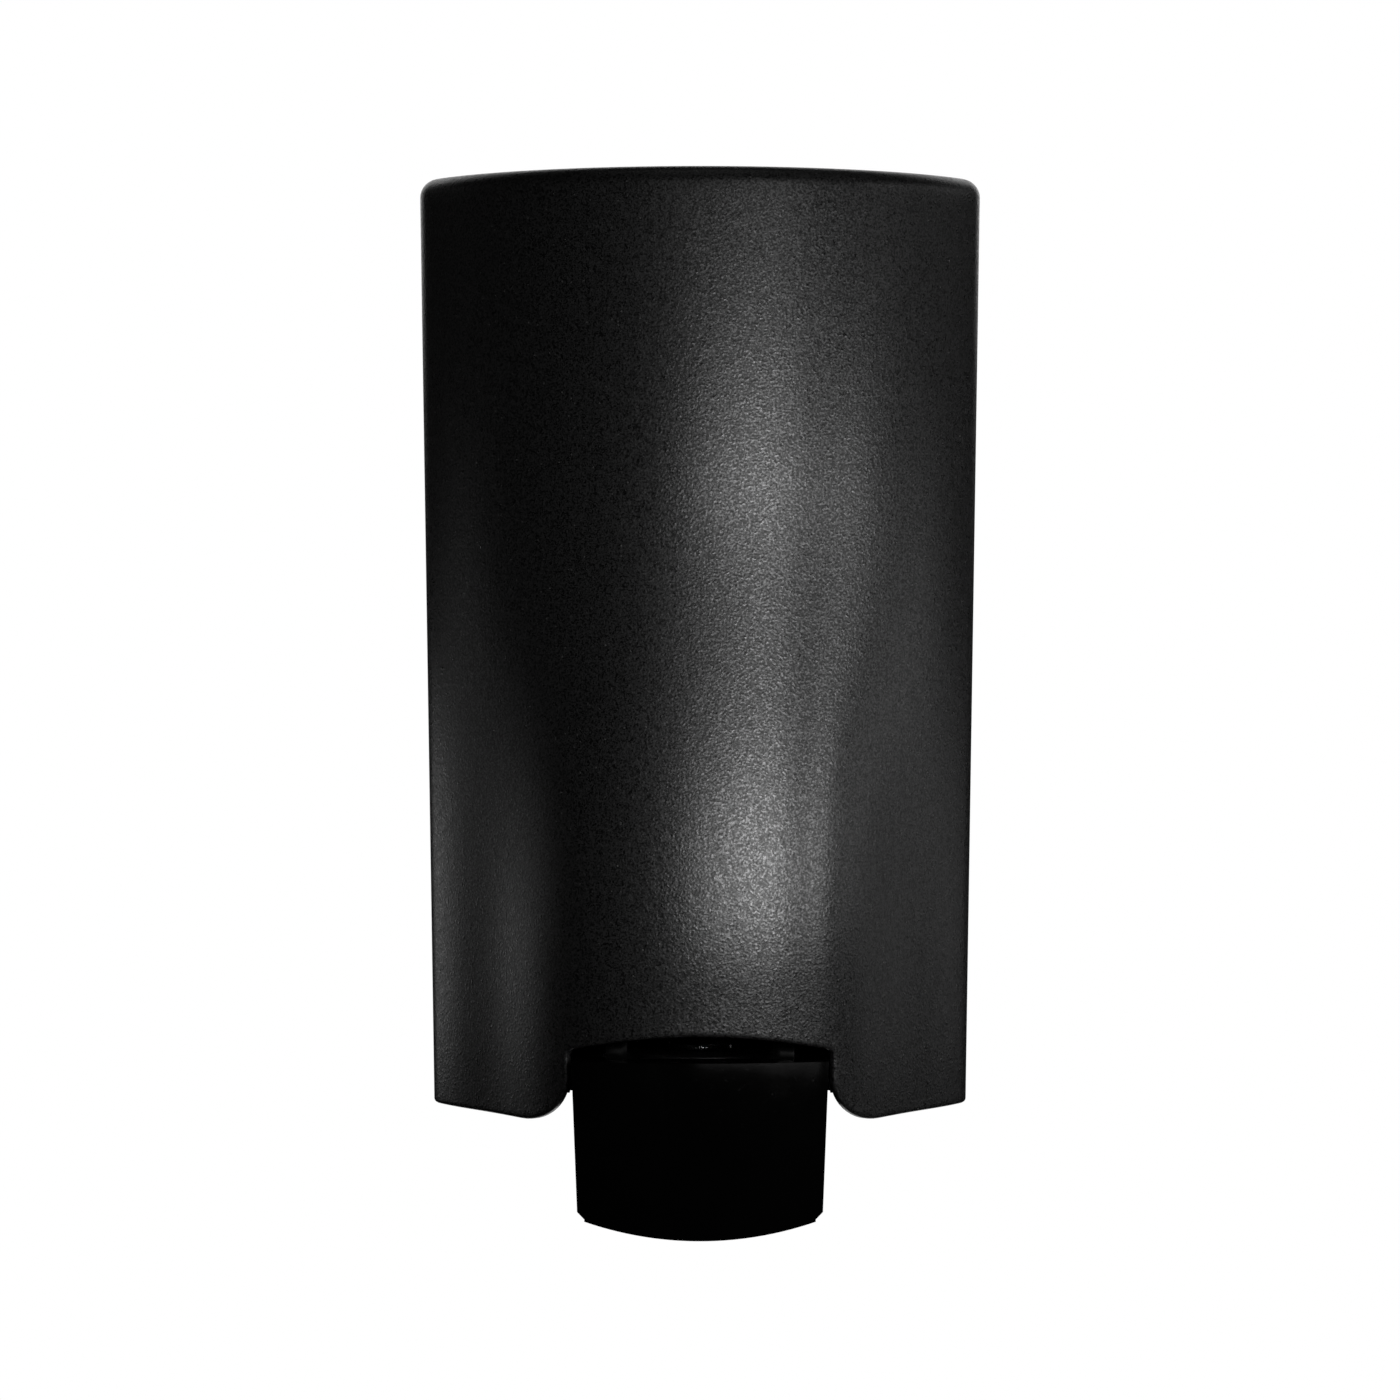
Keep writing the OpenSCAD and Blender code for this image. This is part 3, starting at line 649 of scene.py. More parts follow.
class Slot(Enum):
    """The record's material slots, each with the finish that dresses it."""

    COVER = ("cover_plastic", PebbledPlastic("cover_pebbled_black"))
    LEVER = ("lever_plastic",
             SmoothPlastic("lever_gloss_black", (0.0004, 0.0004, 0.0004), 0.12, specular=0.03, dust=0.0))
    BRACKET = ("gloss_black",
               SmoothPlastic("bracket_gloss_black", (0.001, 0.001, 0.001), 0.12, specular=0.15, dust=0.0))
    FRAME = ("black_plastic", GrainedPlastic("frame_satin_black", (0.012, 0.012, 0.0125)))
    PLATE = ("grey_plastic", GrainedPlastic("plate_grained_grey", (0.042, 0.043, 0.045)))
    PUMP = ("white_plastic",
            SmoothPlastic("pump_natural_white", (0.70, 0.71, 0.68), 0.28, subsurface=0.25, dust=0.0))
    TANK = ("clear_plastic",
            SmoothPlastic("reservoir_milky", (0.86, 0.89, 0.87), 0.34, 0.00001, transmission=0.72, dust=0.02))
    SEAL = ("seal_rubber", Silicone("seal_red", (0.30, 0.045, 0.03)))
    CUP = ("black_rubber", Silicone("piston_seal_black", (0.012, 0.012, 0.012)))
    STEEL = ("steel", BrushedMetal("steel_brushed"))
    WIRE = ("spring_steel", BrushedMetal("spring_wire", (0.5, 0.5, 0.51), 0.26, (1.0, 1.0, 0.2)))
    BALL = ("polished_steel",
            BrushedMetal("ball_polished", (0.74, 0.74, 0.75), 0.12, (1.0, 1.0, 1.0), 0.0000005))
    PLATED = ("plated", BrushedMetal("lock_nickel", (0.66, 0.65, 0.62), 0.20, (1.0, 1.0, 0.1), 0.000002))

    def __init__(self, slot: str, finish: object) -> None:
        """Keeps the slot's name and its finish."""
        self.slot = slot
        self.finish = finish

    def material(self) -> Material:
        """Returns the slot's material, made the first time it is asked for."""
        found = bpy.data.materials.get(self.finish.name)
        return found or self.finish.make()


def dress_as(piece: Piece, slot: Slot, body: str, *nodes: str) -> Piece:
    """Dresses a piece from a slot, on a body, standing for frame nodes."""
    return dress(piece, slot.material(), slot.slot, body, *nodes)


def soften_and_dress(node: str, radius: float, slot: Slot, body: str) -> None:
    """Puts a softened copy, with edges of that radius in mm, in a frame node's place."""
    dress_as(softened(node, radius * MM), slot, body, node)


# ---------------------------------------------------------------- cover


@dataclass
class Cover:
    """The cover: one curved shell with a nose over an arched notch, open at the back and below."""

    top_width: float = 120 * MM
    taper: float = 2.75 * MM
    depth: float = 96 * MM
    wall: float = 2.5 * MM
    front_rise: float = 34 * MM
    side_r: float = 10 * MM
    top_r: float = 4 * MM
    rear_gap: float = 2 * MM
    hinge_depth: float = 10 * MM
    hinge_drop: float = 9 * MM
    swing_clearance: float = 0.6 * MM
    strike_gap: float = 0.3 * MM
    strike_reach: float = 8.4 * MM
    strike_thick: float = 3 * MM
    strike_over: float = 4 * MM
    strike_r: float = 0.6 * MM
    nose_out: float = 12 * MM
    nose_half_width: float = 38 * MM
    nose_low: float = 30 * MM
    nose_top: float = 130 * MM
    nose_steep: float = 2.0
    nose_steep_top: float = 4.0
    notch_half: float = 27.6 * MM
    notch_side: float = 15.5 * MM
    notch_arch: float = 3.5 * MM
    notch_corner_r: float = 1.6 * MM
    flare_r: float = 10 * MM
    edge_r: float = 0.7 * MM
    rows: int = 104
    row_crowding: float = 1.25
    fan_out: float = 2.5
    fillet_rows: int = 8
    rim_steps: int = 4
    low: float = field(default_factory=lambda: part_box("front_cover")[0][2])
    high: float = field(default_factory=lambda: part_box("front_cover")[1][2])

    @property
    def height(self) -> float:
        """Height of the cover."""
        return self.high - self.low

    def half_width(self, z: np.ndarray) -> np.ndarray:
        """Half the cover's width at height z above its lower edge."""
        return self.top_width / 2 - self.taper * (1 - z / self.height)

    def rear(self, z: np.ndarray) -> np.ndarray:
        """Draws the cover's rear edge in round the hinge, so that it swings clear.

        Args:
            z: Heights above the lower edge.

        Returns:
            Depth of the rear edge at each height.
        """
        above = np.maximum(z - (self.height - self.hinge_drop), 0.0)
        swing = self.hinge_depth - self.swing_clearance
        drawn_in = np.maximum(self.rear_gap, self.hinge_depth - np.sqrt(swing**2 - above**2))
        return np.where(above > 0, drawn_in, self.rear_gap)

    def plan(self, s: np.ndarray, z: np.ndarray, inset: np.ndarray, forward: np.ndarray) -> np.ndarray:
        """Places points on the cover's plan at a height.

        Args:
            s: Place round the plan: 0 at the middle of the front, 1 where the front ends, 2 where the side
                wall starts, 3 at the rear edge; negative on the left.
            z: Height above the lower edge, at which the plan is taken.
            inset: Distance inwards from the outer surface.
            forward: Extra depth of the rear edge.

        Returns:
            Array of x and depth, without the nose.
        """
        a = np.abs(s)
        h = self.half_width(z)
        r = (h**2 + self.front_rise**2) / (2 * self.front_rise)
        centre = self.depth - r
        fillet_x = h - self.side_r
        fillet_d = centre + np.sqrt((r - self.side_r) ** 2 - fillet_x**2)
        turn = np.arcsin(fillet_x / (r - self.side_r))
        on_front = np.arcsin(np.clip(np.minimum(a, 1) * np.sin(turn), 0, 1))
        on_fillet = turn + (math.pi / 2 - turn) * np.clip(a - 1, 0, 1)
        angle = np.where(a <= 1, on_front, on_fillet)
        radius = np.where(a <= 1, r, self.side_r)
        x0 = np.where(a <= 1, 0.0, fillet_x)
        d0 = np.where(a <= 1, centre, fillet_d)
        x = x0 + (radius - inset) * np.sin(angle)
        d = d0 + (radius - inset) * np.cos(angle)
        back = self.rear(z) + forward
        d = np.where(a > 2, fillet_d + (back - fillet_d) * (a - 2), d)
        return np.stack([np.sign(s) * x, d], axis=-1)

    def front_end(self, z: np.ndarray) -> np.ndarray:
        """Finds where the front arc ends.

        Args:
            z: Heights above the lower edge.

        Returns:
            Half-width of the arc's end at each height.
        """
        h = self.half_width(z)
        r = (h**2 + self.front_rise**2) / (2 * self.front_rise)
        return r * (h - self.side_r) / (r - self.side_r)

    def surface(self, s: np.ndarray, v: np.ndarray, z_low: np.ndarray, inset: float,
                forward: float) -> np.ndarray:
        """Points of the shell without its nose.

        Args:
            s: Place round the plan, as in plan().
            v: From 0 at the lower edge to 1 where the top fillet starts, and to 2 at its end.
            z_low: Height of the lower edge below each point.
            inset: Distance inwards from the outer surface.
            forward: Extra depth of the rear edge.

        Returns:
            Array of points in the frame's axes.
        """
        shoulder = self.height - self.top_r
        f = np.clip(v - 1, 0, 1) * math.pi / 2
        below = z_low + (shoulder - z_low) * np.minimum(v, 1)
        z = np.where(v <= 1, below, shoulder + (self.top_r - inset) * np.sin(f))
        drawn_in = inset + (self.top_r - inset) * (1 - np.cos(f))
        xy = self.plan(s, z, drawn_in, forward)
        return np.stack([xy[..., 0], -xy[..., 1], self.low + z], axis=-1)

    def right_edge(self) -> np.ndarray:
        """Stations along the lower edge, from the right rear corner to the middle of the notch.

        Returns:
            Rows of (s, x, z, nx, nz): s is used beyond the front arc and x on it, and (nx, nz) points into
            the wall, square to the edge.
        """
        start = float(self.front_end(np.array(0.0)))
        rows = [(3 - k / 16, 0, 0, 0, 1) for k in range(16)]
        rows += [(2 - k / 9, 0, 0, 0, 1) for k in range(9)]
        flat_to = self.notch_half + self.flare_r
        rows += [(0, start + (flat_to - start) * k / 26, 0, 0, 1) for k in range(26)]
        for k in range(14):
            a = math.radians(270 - 90 * k / 14)
            n = (-math.cos(a), -math.sin(a))
            rows.append((0, flat_to - self.flare_r * n[0], self.flare_r - self.flare_r * n[1], *n))
        arch_r = (self.notch_half**2 + self.notch_arch**2) / (2 * self.notch_arch)
        arch_z = self.notch_side + self.notch_arch - arch_r
        corner = self.notch_corner_r
        corner_x = self.notch_half - corner
        corner_z = arch_z + math.sqrt((arch_r - corner) ** 2 - corner_x**2)
        jamb = corner_z - self.flare_r
        rows += [(0, self.notch_half, self.flare_r + jamb * k / 7, 1, 0) for k in range(7)]
        last = math.acos(corner_x / (arch_r - corner))
        for k in range(8):
            a = last * k / 8
            nx, nz = math.cos(a), math.sin(a)
            rows.append((0, corner_x + corner * nx, corner_z + corner * nz, nx, nz))
        for k in range(35):
            a = last + (math.pi / 2 - last) * k / 34
            nx, nz = math.cos(a), math.sin(a)
            rows.append((0, arch_r * nx, arch_z + arch_r * nz, nx, nz))
        return np.array(rows, float)

    def edge_points(self, rows: np.ndarray, into: float) -> tuple[np.ndarray, np.ndarray]:
        """Places the lower edge's stations, moved into the wall along its surface.

        Args:
            rows: Stations as right_edge() gives them.
            into: Distance moved, in metres.

        Returns:
            The stations' s and z.
        """
        s, x, z, nx, nz = rows.T
        z = z + into * nz
        on_front = s == 0
        s = np.where(on_front, (x + into * nx) / self.front_end(z), s)
        return s, z

    def shell(self) -> Piece:
        """Builds the shell without its nose: outer face, inner face and the rounded rim between them.

        Returns:
            The shell.
        """
        right = self.right_edge()
        left = right[-2::-1].copy()
        profile = self.rim_profile()
        count = len(right) + len(left)
        v = np.concatenate([(np.arange(self.rows) / self.rows) ** self.row_crowding,
                            1 + np.arange(self.fillet_rows + 1) / self.fillet_rows])
        spread = 1 - (1 - np.clip(v, 0, 1)) ** self.fan_out
        tops = self.top_stations(right)
        tops = np.concatenate([tops, -tops[-2::-1]])
        sheets, loops = [], []
        for into, inset in profile:
            s, z = self.edge_points(right, into)
            s = np.concatenate([s, -s[-2::-1]])
            z = np.concatenate([z, z[-2::-1]])
            ss = s[None, :] + (tops - s)[None, :] * spread[:, None]
            vv, zz = np.repeat(v[:, None], count, 1), np.repeat(z[None, :], len(v), 0)
            grid = self.surface(ss, vv, zz, inset, into)
            sheets.append(grid)
            loops.append(np.concatenate([grid[0], grid[1:, -1], grid[-1::-1, 0][:-1]]))
        return self.stitched(sheets, loops, count, len(v))

    def stitched(self, sheets: list[np.ndarray], loops: list[np.ndarray], count: int, levels: int) -> Piece:
        """Joins the outer sheet, the inner sheet and the rim between them into one closed object.

        Args:
            sheets: Grids of points for every step of the rim, from the outer face to the inner one.
            loops: The closed rim loop of every step.
            count: Points in a sheet's row.
            levels: Rows in a sheet.

        Returns:
            The shell.
        """
        points, faces = [], []
        for sheet, turned in ((sheets[0], False), (sheets[-1], True)):
            start = sum(len(p) for p in points)
            points.append(sheet.reshape(-1, 3))
            faces += grid_faces(levels, count, start, turned)
            top = start + (levels - 1) * count
            for i in range(count // 2):
                quad = (top + i, top + i + 1, top + count - 2 - i, top + count - 1 - i)
                faces.append(quad[::-1] if turned else quad)
        size = len(loops[0])
        start = sum(len(p) for p in points)
        for k in range(len(loops) - 1):
            for m in range(size):
                a, b = start + k * size + m, start + k * size + (m + 1) % size
                faces.append((a, a + size, b + size, b))
        points += loops
        faces = [f for f in faces if len(set(f)) > 2]
        return solid_from("cover_shell", np.concatenate(points), faces, sharp=60.0)

    def top_stations(self, right: np.ndarray) -> np.ndarray:
        """Finds where each station's column ends at the top: kept beyond the front arc, spread evenly on it.

        Args:
            right: Stations as right_edge() gives them.

        Returns:
            The place round the plan at which each column ends.
        """
        s = right[:, 0].copy()
        on_front = np.flatnonzero(s == 0)
        s[on_front] = 1 - np.arange(len(on_front)) / (len(on_front) - 1)
        return s

    def rim_profile(self) -> list[tuple[float, float]]:
        """Draws the rim's cross-section.

        Returns:
            Its points from the outer face to the inner one, as (into the wall, inset).
        """
        r = self.edge_r
        turn = [math.pi / 2 * k / self.rim_steps for k in range(self.rim_steps + 1)]
        outer = [(r * (1 - math.sin(a)), r * (1 - math.cos(a))) for a in turn]
        inner = [(i, self.wall - d) for i, d in reversed(outer)]
        return outer + inner

    def nose_tree(self) -> Graph:
        """Builds the geometry tree that pushes the nose out of the plain shell.

        Returns:
            The tree.
        """
        g = Graph("cover_nose", "GeometryNodeTree")
        shape = g.takes("Geometry", "Geometry")
        out = g.takes("Nose Out", "Float")
        half = g.takes("Half Width", "Float")
        low = g.takes("Full Below", "Float")
        top = g.takes("Gone Above", "Float")
        position = g.node("GeometryNodeInputPosition").outputs[0]
        xyz = g.node("ShaderNodeSeparateXYZ", None, Vector=position).outputs
        share = g.range(xyz["Z"], low, top, 1.0, 0.0, smooth=True)
        across = g.math("DIVIDE", g.math("ABSOLUTE", xyz["X"]), half)
        steep = g.math("MULTIPLY_ADD", share, self.nose_steep, self.nose_steep_top)
        fall = g.math("EXPONENT", g.math("MULTIPLY", g.math("POWER", across, steep), -1.0))
        push = g.math("MULTIPLY", g.math("MULTIPLY", share, fall), g.math("MULTIPLY", out, -1.0))
        offset = g.node("ShaderNodeCombineXYZ", None, Y=push).outputs[0]
        moved = g.node("GeometryNodeSetPosition", None, Geometry=shape, Offset=offset)
        g.gives_dressed(moved.outputs[0], Slot.COVER.material())
        return g

    def build(self) -> None:
        """Builds and dresses the cover and the hinge bar inside it."""
        plain = self.shell()
        mesh = plain.data
        bpy.data.objects.remove(plain)
        values = {"Nose Out": self.nose_out, "Half Width": self.nose_half_width,
                  "Full Below": self.low + self.nose_low, "Gone Above": self.low + self.nose_top}
        cover = run_tree("cover_shell", self.nose_tree(), mesh, values, sharp=60.0)
        dress_as(cover, Slot.COVER, "cover", "front_cover")
        dress_as(self.strike(), Slot.COVER, "cover")
        soften_and_dress("hinge_bar", 0.4, Slot.FRAME, "cover")
        soften_and_dress("hinge_pins", 0.35, Slot.STEEL, "cover")

    def strike(self) -> Piece:
        """Makes the rib inside the cover that the lock's cam turns in front of.

        Returns:
            The rib.
        """
        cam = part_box("lock_cam")
        front = cam[1][1] + self.strike_gap
        outer = self.top_width / 2 - self.taper - self.wall / 2
        low = Vector((outer - self.strike_reach, front, cam[0][2] - self.strike_over))
        high = Vector((outer, front + self.strike_thick, cam[1][2] + self.strike_over))
        return block("cover_strike", low, high, self.strike_r)


def block(name: str, low: Sequence[float], high: Sequence[float], radius: float) -> Piece:
    """Makes a block with rounded edges.

    Args:
        name: Name of the object.
        low: Its lowest corner.
        high: Its highest corner.
        radius: Radius of its edges.

    Returns:
        The block.
    """
    work = bmesh.new()
    bmesh.ops.create_cube(work, size=1.0)
    size = Vector(high) - Vector(low)
    middle = (Vector(high) + Vector(low)) / 2
    for v in work.verts:
        v.co = Vector((v.co[i] * size[i] + middle[i] for i in range(3)))
    bmesh.ops.bevel(work, geom=work.edges, offset=radius, segments=3, profile=0.5, affect="EDGES")
    mesh = bpy.data.meshes.new(name)
    work.to_mesh(mesh)
    work.free()
    return shown(name, mesh)


def turned(name: str, rings: Sequence[tuple[object, float]], place: tuple[float, float],
           sectors: int = 64) -> Piece:
    """Turns a closed profile round an upright axis; each ring may have its own outline.

    Args:
        name: Name of the object.
        rings: Each ring's radius and height in mm, in order; the radius may be a function of the angle.
        place: The axis's x and depth in mm.
        sectors: Points round each ring.

    Returns:
        The solid.
    """
    angles = [2 * math.pi * k / sectors for k in range(sectors)]
    points, faces = [], []
    for radius, height in rings:
        for a in angles:
            r = radius(a) if callable(radius) else radius
            points.append((r * math.cos(a), r * math.sin(a), height))
    for j in range(len(rings) - 1):
        for i in range(sectors):
            k = (i + 1) % sectors
            faces.append((j * sectors + i, j * sectors + k, (j + 1) * sectors + k, (j + 1) * sectors + i))
    for ring, end in ((0, 0), (len(rings) - 1, 1)):
        points.append((0.0, 0.0, rings[ring][1]))
        for i in range(sectors):
            edge = (ring * sectors + i, ring * sectors + (i + 1) % sectors)
            faces.append((*(edge if end else edge[::-1]), len(points) - 1))
    moved = np.array(points) * MM + np.array([place[0], -place[1], 0]) * MM + np.array([0, 0, ROW_ZERO])
    return solid_from(name, moved, faces, sharp=35.0)


# ---------------------------------------------------------------- screws and the spring


@dataclass
class ScrewSet:
    """Pan-head screws with a cross recess, all alike, with their heads' seats at given places."""

    name: str
    body: str
    node: str
    seats: Sequence[tuple[float, float, float]]
    length: float
    turn: tuple[float, float, float] = (0.0, 0.0, 0.0)
    shank_r: float = 1.5
    head_r: float = 2.85
    head_h: float = 1.6

    def recess(self, share: float) -> Callable[[float], float]:
        """Returns the cross recess's outline at a share of its size, as a radius at each angle."""
        return lambda angle: share * (0.5 + 1.25 * abs(math.cos(2 * angle)) ** 5)

    def pattern(self) -> Piece:
        """Makes one screw, its head below the origin and its shank along +Z, in metres.

        Returns:
            The screw.
        """
        top, crown, rise, bevel, fillet, point = -self.head_h, 0.75, 0.8, 0.12, 0.15, 0.3
        rings = [(self.recess(share), top + deep) for share, deep in ((0.35, 1.05), (0.5, 1.0), (0.92, 0.12))]
        rings.append((self.recess(1.0), top))
        rings += [(self.head_r - crown + crown * math.sin(t), top + rise - rise * math.cos(t))
                  for t in np.linspace(0.25, math.pi / 2, 6)]
        rings += [(self.head_r, -bevel), (self.head_r - bevel, 0.0), (self.shank_r + fillet, 0.0)]
        rings += [(self.shank_r, fillet), (self.shank_r, self.length - point)]
        rings.append((self.shank_r - point, self.length))
        piece = turned(self.name + "_pattern", rings, (0, 0), 32)
        piece.data.transform(Matrix.Translation((0, 0, -ROW_ZERO)))
        return piece

    def tree(self, pattern: Piece) -> Graph:
        """Builds the tree that puts a copy of the pattern on each seat.

        Args:
            pattern: The screw that is copied.

        Returns:
            The tree.
        """
        g = Graph(self.name + "_set", "GeometryNodeTree")
        seats = g.takes("Geometry", "Geometry")
        turn = g.takes("Turn", "Vector")
        spin = g.takes("Spin", "Float")
        screw = g.node("GeometryNodeObjectInfo", {"transform_space": "ORIGINAL"}, Object=pattern)
        shape = screw.outputs["Geometry"]
        draw = g.node("FunctionNodeRandomValue", {"data_type": "FLOAT"}, Min=0.0, Max=spin, Seed=7)
        chance = draw.outputs[1]
        spun = g.node("ShaderNodeCombineXYZ", None, Z=chance).outputs[0]
        first = g.node("FunctionNodeEulerToRotation", None, i0=spun).outputs[0]
        then = g.node("FunctionNodeEulerToRotation", None, i0=turn).outputs[0]
        both = g.node("FunctionNodeRotateRotation", {"rotation_space": "LOCAL"}, i0=then, i1=first).outputs[0]
        placed = g.node("GeometryNodeInstanceOnPoints", None, Points=seats, Instance=shape, Rotation=both)
        g.gives_dressed(placed.outputs[0], Slot.STEEL.material())
        return g

    def build(self) -> None:
        """Builds and dresses the set."""
        pattern = self.pattern()
        mesh = bpy.data.meshes.new(self.name)
        mesh.from_pydata([(x * MM, -d * MM, z * MM + ROW_ZERO) for x, d, z in self.seats], [], [])
        piece = run_tree(self.name, self.tree(pattern), mesh, {"Turn": self.turn, "Spin": 1.5}, sharp=35.0)
        bpy.data.objects.remove(pattern)
        dress_as(piece, Slot.STEEL, self.body, self.node)


@dataclass
class ReturnSpring:
    """The compression spring under the pump, its end turns lying flat."""

    low: float = 11.3
    high: float = 30.5
    radius: float = 6.2
    wire: float = 0.6
    turns: float = 6.0
    depth: float = 60.0
    stroke: float = 7.85
    seat_gap: float = 0.1
    end_share: float = 0.15
    even_climb: float = 0.14

    def tree(self) -> Graph:
        """Builds the tree that winds a wire of given sizes.

        Returns:
            The tree.
        """
        g = Graph("spring_winding", "GeometryNodeTree")
        g.takes("Geometry", "Geometry")
        radius, wire = g.takes("Radius", "Float"), g.takes("Wire Radius", "Float")
        turns, low, rise = g.takes("Turns", "Float"), g.takes("Low", "Float"), g.takes("Rise", "Float")
        depth = g.takes("Depth", "Float")
        line = g.node("GeometryNodeCurvePrimitiveLine", None, End=(0.0, 0.0, 1.0)).outputs[0]
        fine = g.node("GeometryNodeResampleCurve", None, Curve=line, Count=220).outputs[0]
        along = g.node("GeometryNodeSplineParameter").outputs["Factor"]
        angle = g.math("MULTIPLY", g.math("MULTIPLY", along, turns), 2 * math.pi)
        lift = g.range(along, self.end_share, 1 - self.end_share)
        even = g.math("MULTIPLY", along, self.even_climb)
        lift = g.math("ADD", g.math("MULTIPLY", lift, 1 - self.even_climb), even)
        x = g.math("MULTIPLY", g.math("COSINE", angle), radius)
        y = g.math("SUBTRACT", g.math("MULTIPLY", g.math("SINE", angle), radius), depth)
        z = g.math("MULTIPLY_ADD", lift, rise, low)
        spot = g.node("ShaderNodeCombineXYZ", None, X=x, Y=y, Z=z).outputs[0]
        wound = g.node("GeometryNodeSetPosition", None, Geometry=fine, Position=spot).outputs[0]
        ring = g.node("GeometryNodeCurvePrimitiveCircle", None, Resolution=12, Radius=wire).outputs[0]
        swept = g.node("GeometryNodeCurveToMesh", None, Curve=wound, Profile_Curve=ring, Fill_Caps=True)
        g.gives_dressed(swept.outputs[0], Slot.WIRE.material())
        return g

    def build(self) -> None:
        """Builds and dresses the spring."""
        values = {"Radius": self.radius * MM, "Wire Radius": self.wire * MM, "Turns": self.turns,
                  "Low": ROW_ZERO + (self.low + self.wire + self.seat_gap) * MM,
                  "Rise": (self.high - self.low - 2 * self.wire - 2 * self.seat_gap) * MM,
                  "Depth": self.depth * MM}
        piece = run_tree("return_spring_wound", self.tree(), None, values)
        dress_as(piece, Slot.WIRE, "wall_unit", "return_spring")
        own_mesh(piece)


# ---------------------------------------------------------------- the other sub-assemblies


@dataclass
class WallUnit:
    """The wall plate, and what is screwed to it: the carrier, the lever's bracket and the base panel."""

    edge: float = 0.4
    plate_face: float = 5.5
    carrier_screws: Sequence[tuple[float, float]] = ((-41.75, 35), (-14, 35), (14, 35), (41.75, 35))
    panel_screws: Sequence[tuple[float, float]] = ((-16, 14.5), (16, 14.5))
    bracket_screw: tuple[float, float, float] = (0, 87.5, 40)

    def build(self) -> None:
        """Builds and dresses the pieces."""
        for node, slot in (("back_plate", Slot.PLATE), ("pump_carrier", Slot.BRACKET),
                           ("lever_bracket", Slot.BRACKET), ("base_panel", Slot.FRAME)):
            soften_and_dress(node, self.edge, slot, "wall_unit")
        into_wall = (-math.pi / 2, 0.0, 0.0)
        for name, node, places in (("carrier_screw_set", "carrier_screws", self.carrier_screws),
                                   ("panel_screw_set", "panel_screws", self.panel_screws)):
            seats = [(x, self.plate_face, z) for x, z in places]
            ScrewSet(name, "wall_unit", node, seats, 4.6, into_wall).build()
        ScrewSet("bracket_screw_set", "wall_unit", "bracket_screw", [self.bracket_screw], 5.9).build()


@dataclass
class Reservoir:
    """The translucent reservoir with its floor, top and neck, and the lid over its filling mouth."""

    edge: float = 0.5

    def build(self) -> None:
        """Builds and dresses the pieces."""
        for node in ("reservoir", "reservoir_floor", "reservoir_top"):
            soften_and_dress(node, self.edge, Slot.TANK, "wall_unit")
        soften_and_dress("neck_seal", 0.2, Slot.SEAL, "wall_unit")
        soften_and_dress("reservoir_lid", self.edge, Slot.FRAME, "lid")
        soften_and_dress("lid_gasket", 0.25, Slot.SEAL, "lid")


@dataclass
class Pump:
    """The piston pump that hangs in the reservoir's neck."""

    depth: float = 60.0
    ball_r: float = 3.0
    ball_z: float = 54.15
    pole: float = 0.02
    spring: ReturnSpring = field(default_factory=ReturnSpring)

    def build(self) -> None:
        """Builds and dresses the pieces."""
        still, moving = "wall_unit", "plunger"
        soften_and_dress("pump_cylinder", 0.4, Slot.PUMP, still)
        soften_and_dress("ball_cage", 0.15, Slot.PUMP, still)
        soften_and_dress("pump_stem", 0.35, Slot.FRAME, moving)
        soften_and_dress("piston_seal", 0.4, Slot.CUP, moving)
        soften_and_dress("nozzle", 0.35, Slot.PUMP, moving)
        soften_and_dress("outlet_valve", 0.25, Slot.SEAL, moving)
        soften_and_dress("pump_nut", 0.3, Slot.FRAME, still)
        angles = np.linspace(self.pole, math.pi - self.pole, 33)
        rings = [(self.ball_r * math.sin(a), self.ball_z - self.ball_r * math.cos(a)) for a in angles]
        dress_as(turned("inlet_ball_made", rings, (0, self.depth)), Slot.BALL, "ball", "inlet_ball")
        self.spring.build()


@dataclass
class PushLever:
    """The push lever and the steel pin that it turns on."""

    edge: float = 0.5

    def build(self) -> None:
        """Builds and dresses the lever and its pin."""
        soften_and_dress("push_lever", self.edge, Slot.LEVER, "lever")
        soften_and_dress("lever_pin", 0.35, Slot.STEEL, "wall_unit")


@dataclass
class HingeScrews:
    """The screws that hold the hinge bar to the cover."""

    depth: float = 14.0
    seat: float = 193.5
    across: Sequence[float] = (-27.35, -12, 12, 27.35)

    def build(self) -> None:
        """Builds and dresses the screws."""
        seats = [(x, self.depth, self.seat) for x in self.across]
        ScrewSet("hinge_screw_set", "cover", "hinge_screws", seats, 2.0).build()


@dataclass
class CoverLock:
    """The lock in the base panel: barrel, nut, cam and the cam's screw."""

    def build(self) -> None:
        """Builds and dresses the lock's pieces."""
        soften_and_dress("lock_barrel", 0.3, Slot.PLATED, "lock")
        soften_and_dress("lock_nut", 0.35, Slot.PLATED, "wall_unit")
        soften_and_dress("lock_cam", 0.25, Slot.STEEL, "lock")
        soften_and_dress("cam_screw", 0.2, Slot.STEEL, "lock")


# ---------------------------------------------------------------- studio


LIT_POINT = (0.0, -0.04, -0.0125)


@dataclass(frozen=True)
class Panel:
    """A soft square studio light, a side wide, that hangs at a distance from the lit point."""

    name: str
    azimuth: float
    elevation: float
    distance: float
    side: float
    power: float

    def build(self) -> None:
        """Hangs the light round the object, facing it; azimuth 0 is in front and 90 to the right."""
        a, e = math.radians(self.azimuth), math.radians(self.elevation)
        aside = Vector((math.sin(a) * math.cos(e), -math.cos(a) * math.cos(e), math.sin(e))) * self.distance
        place = Vector(LIT_POINT) + aside
        light = bpy.data.lights.new(self.name, "AREA")
        light.shape, light.size, light.size_y, light.energy = "RECTANGLE", self.side, self.side, self.power
        lamp = bpy.data.objects.new(self.name, light)
        lamp.location = place
        lamp.rotation_euler = (-aside).to_track_quat("-Z", "Y").to_euler()
        lamp.visible_camera = False
        bpy.context.scene.collection.objects.link(lamp)


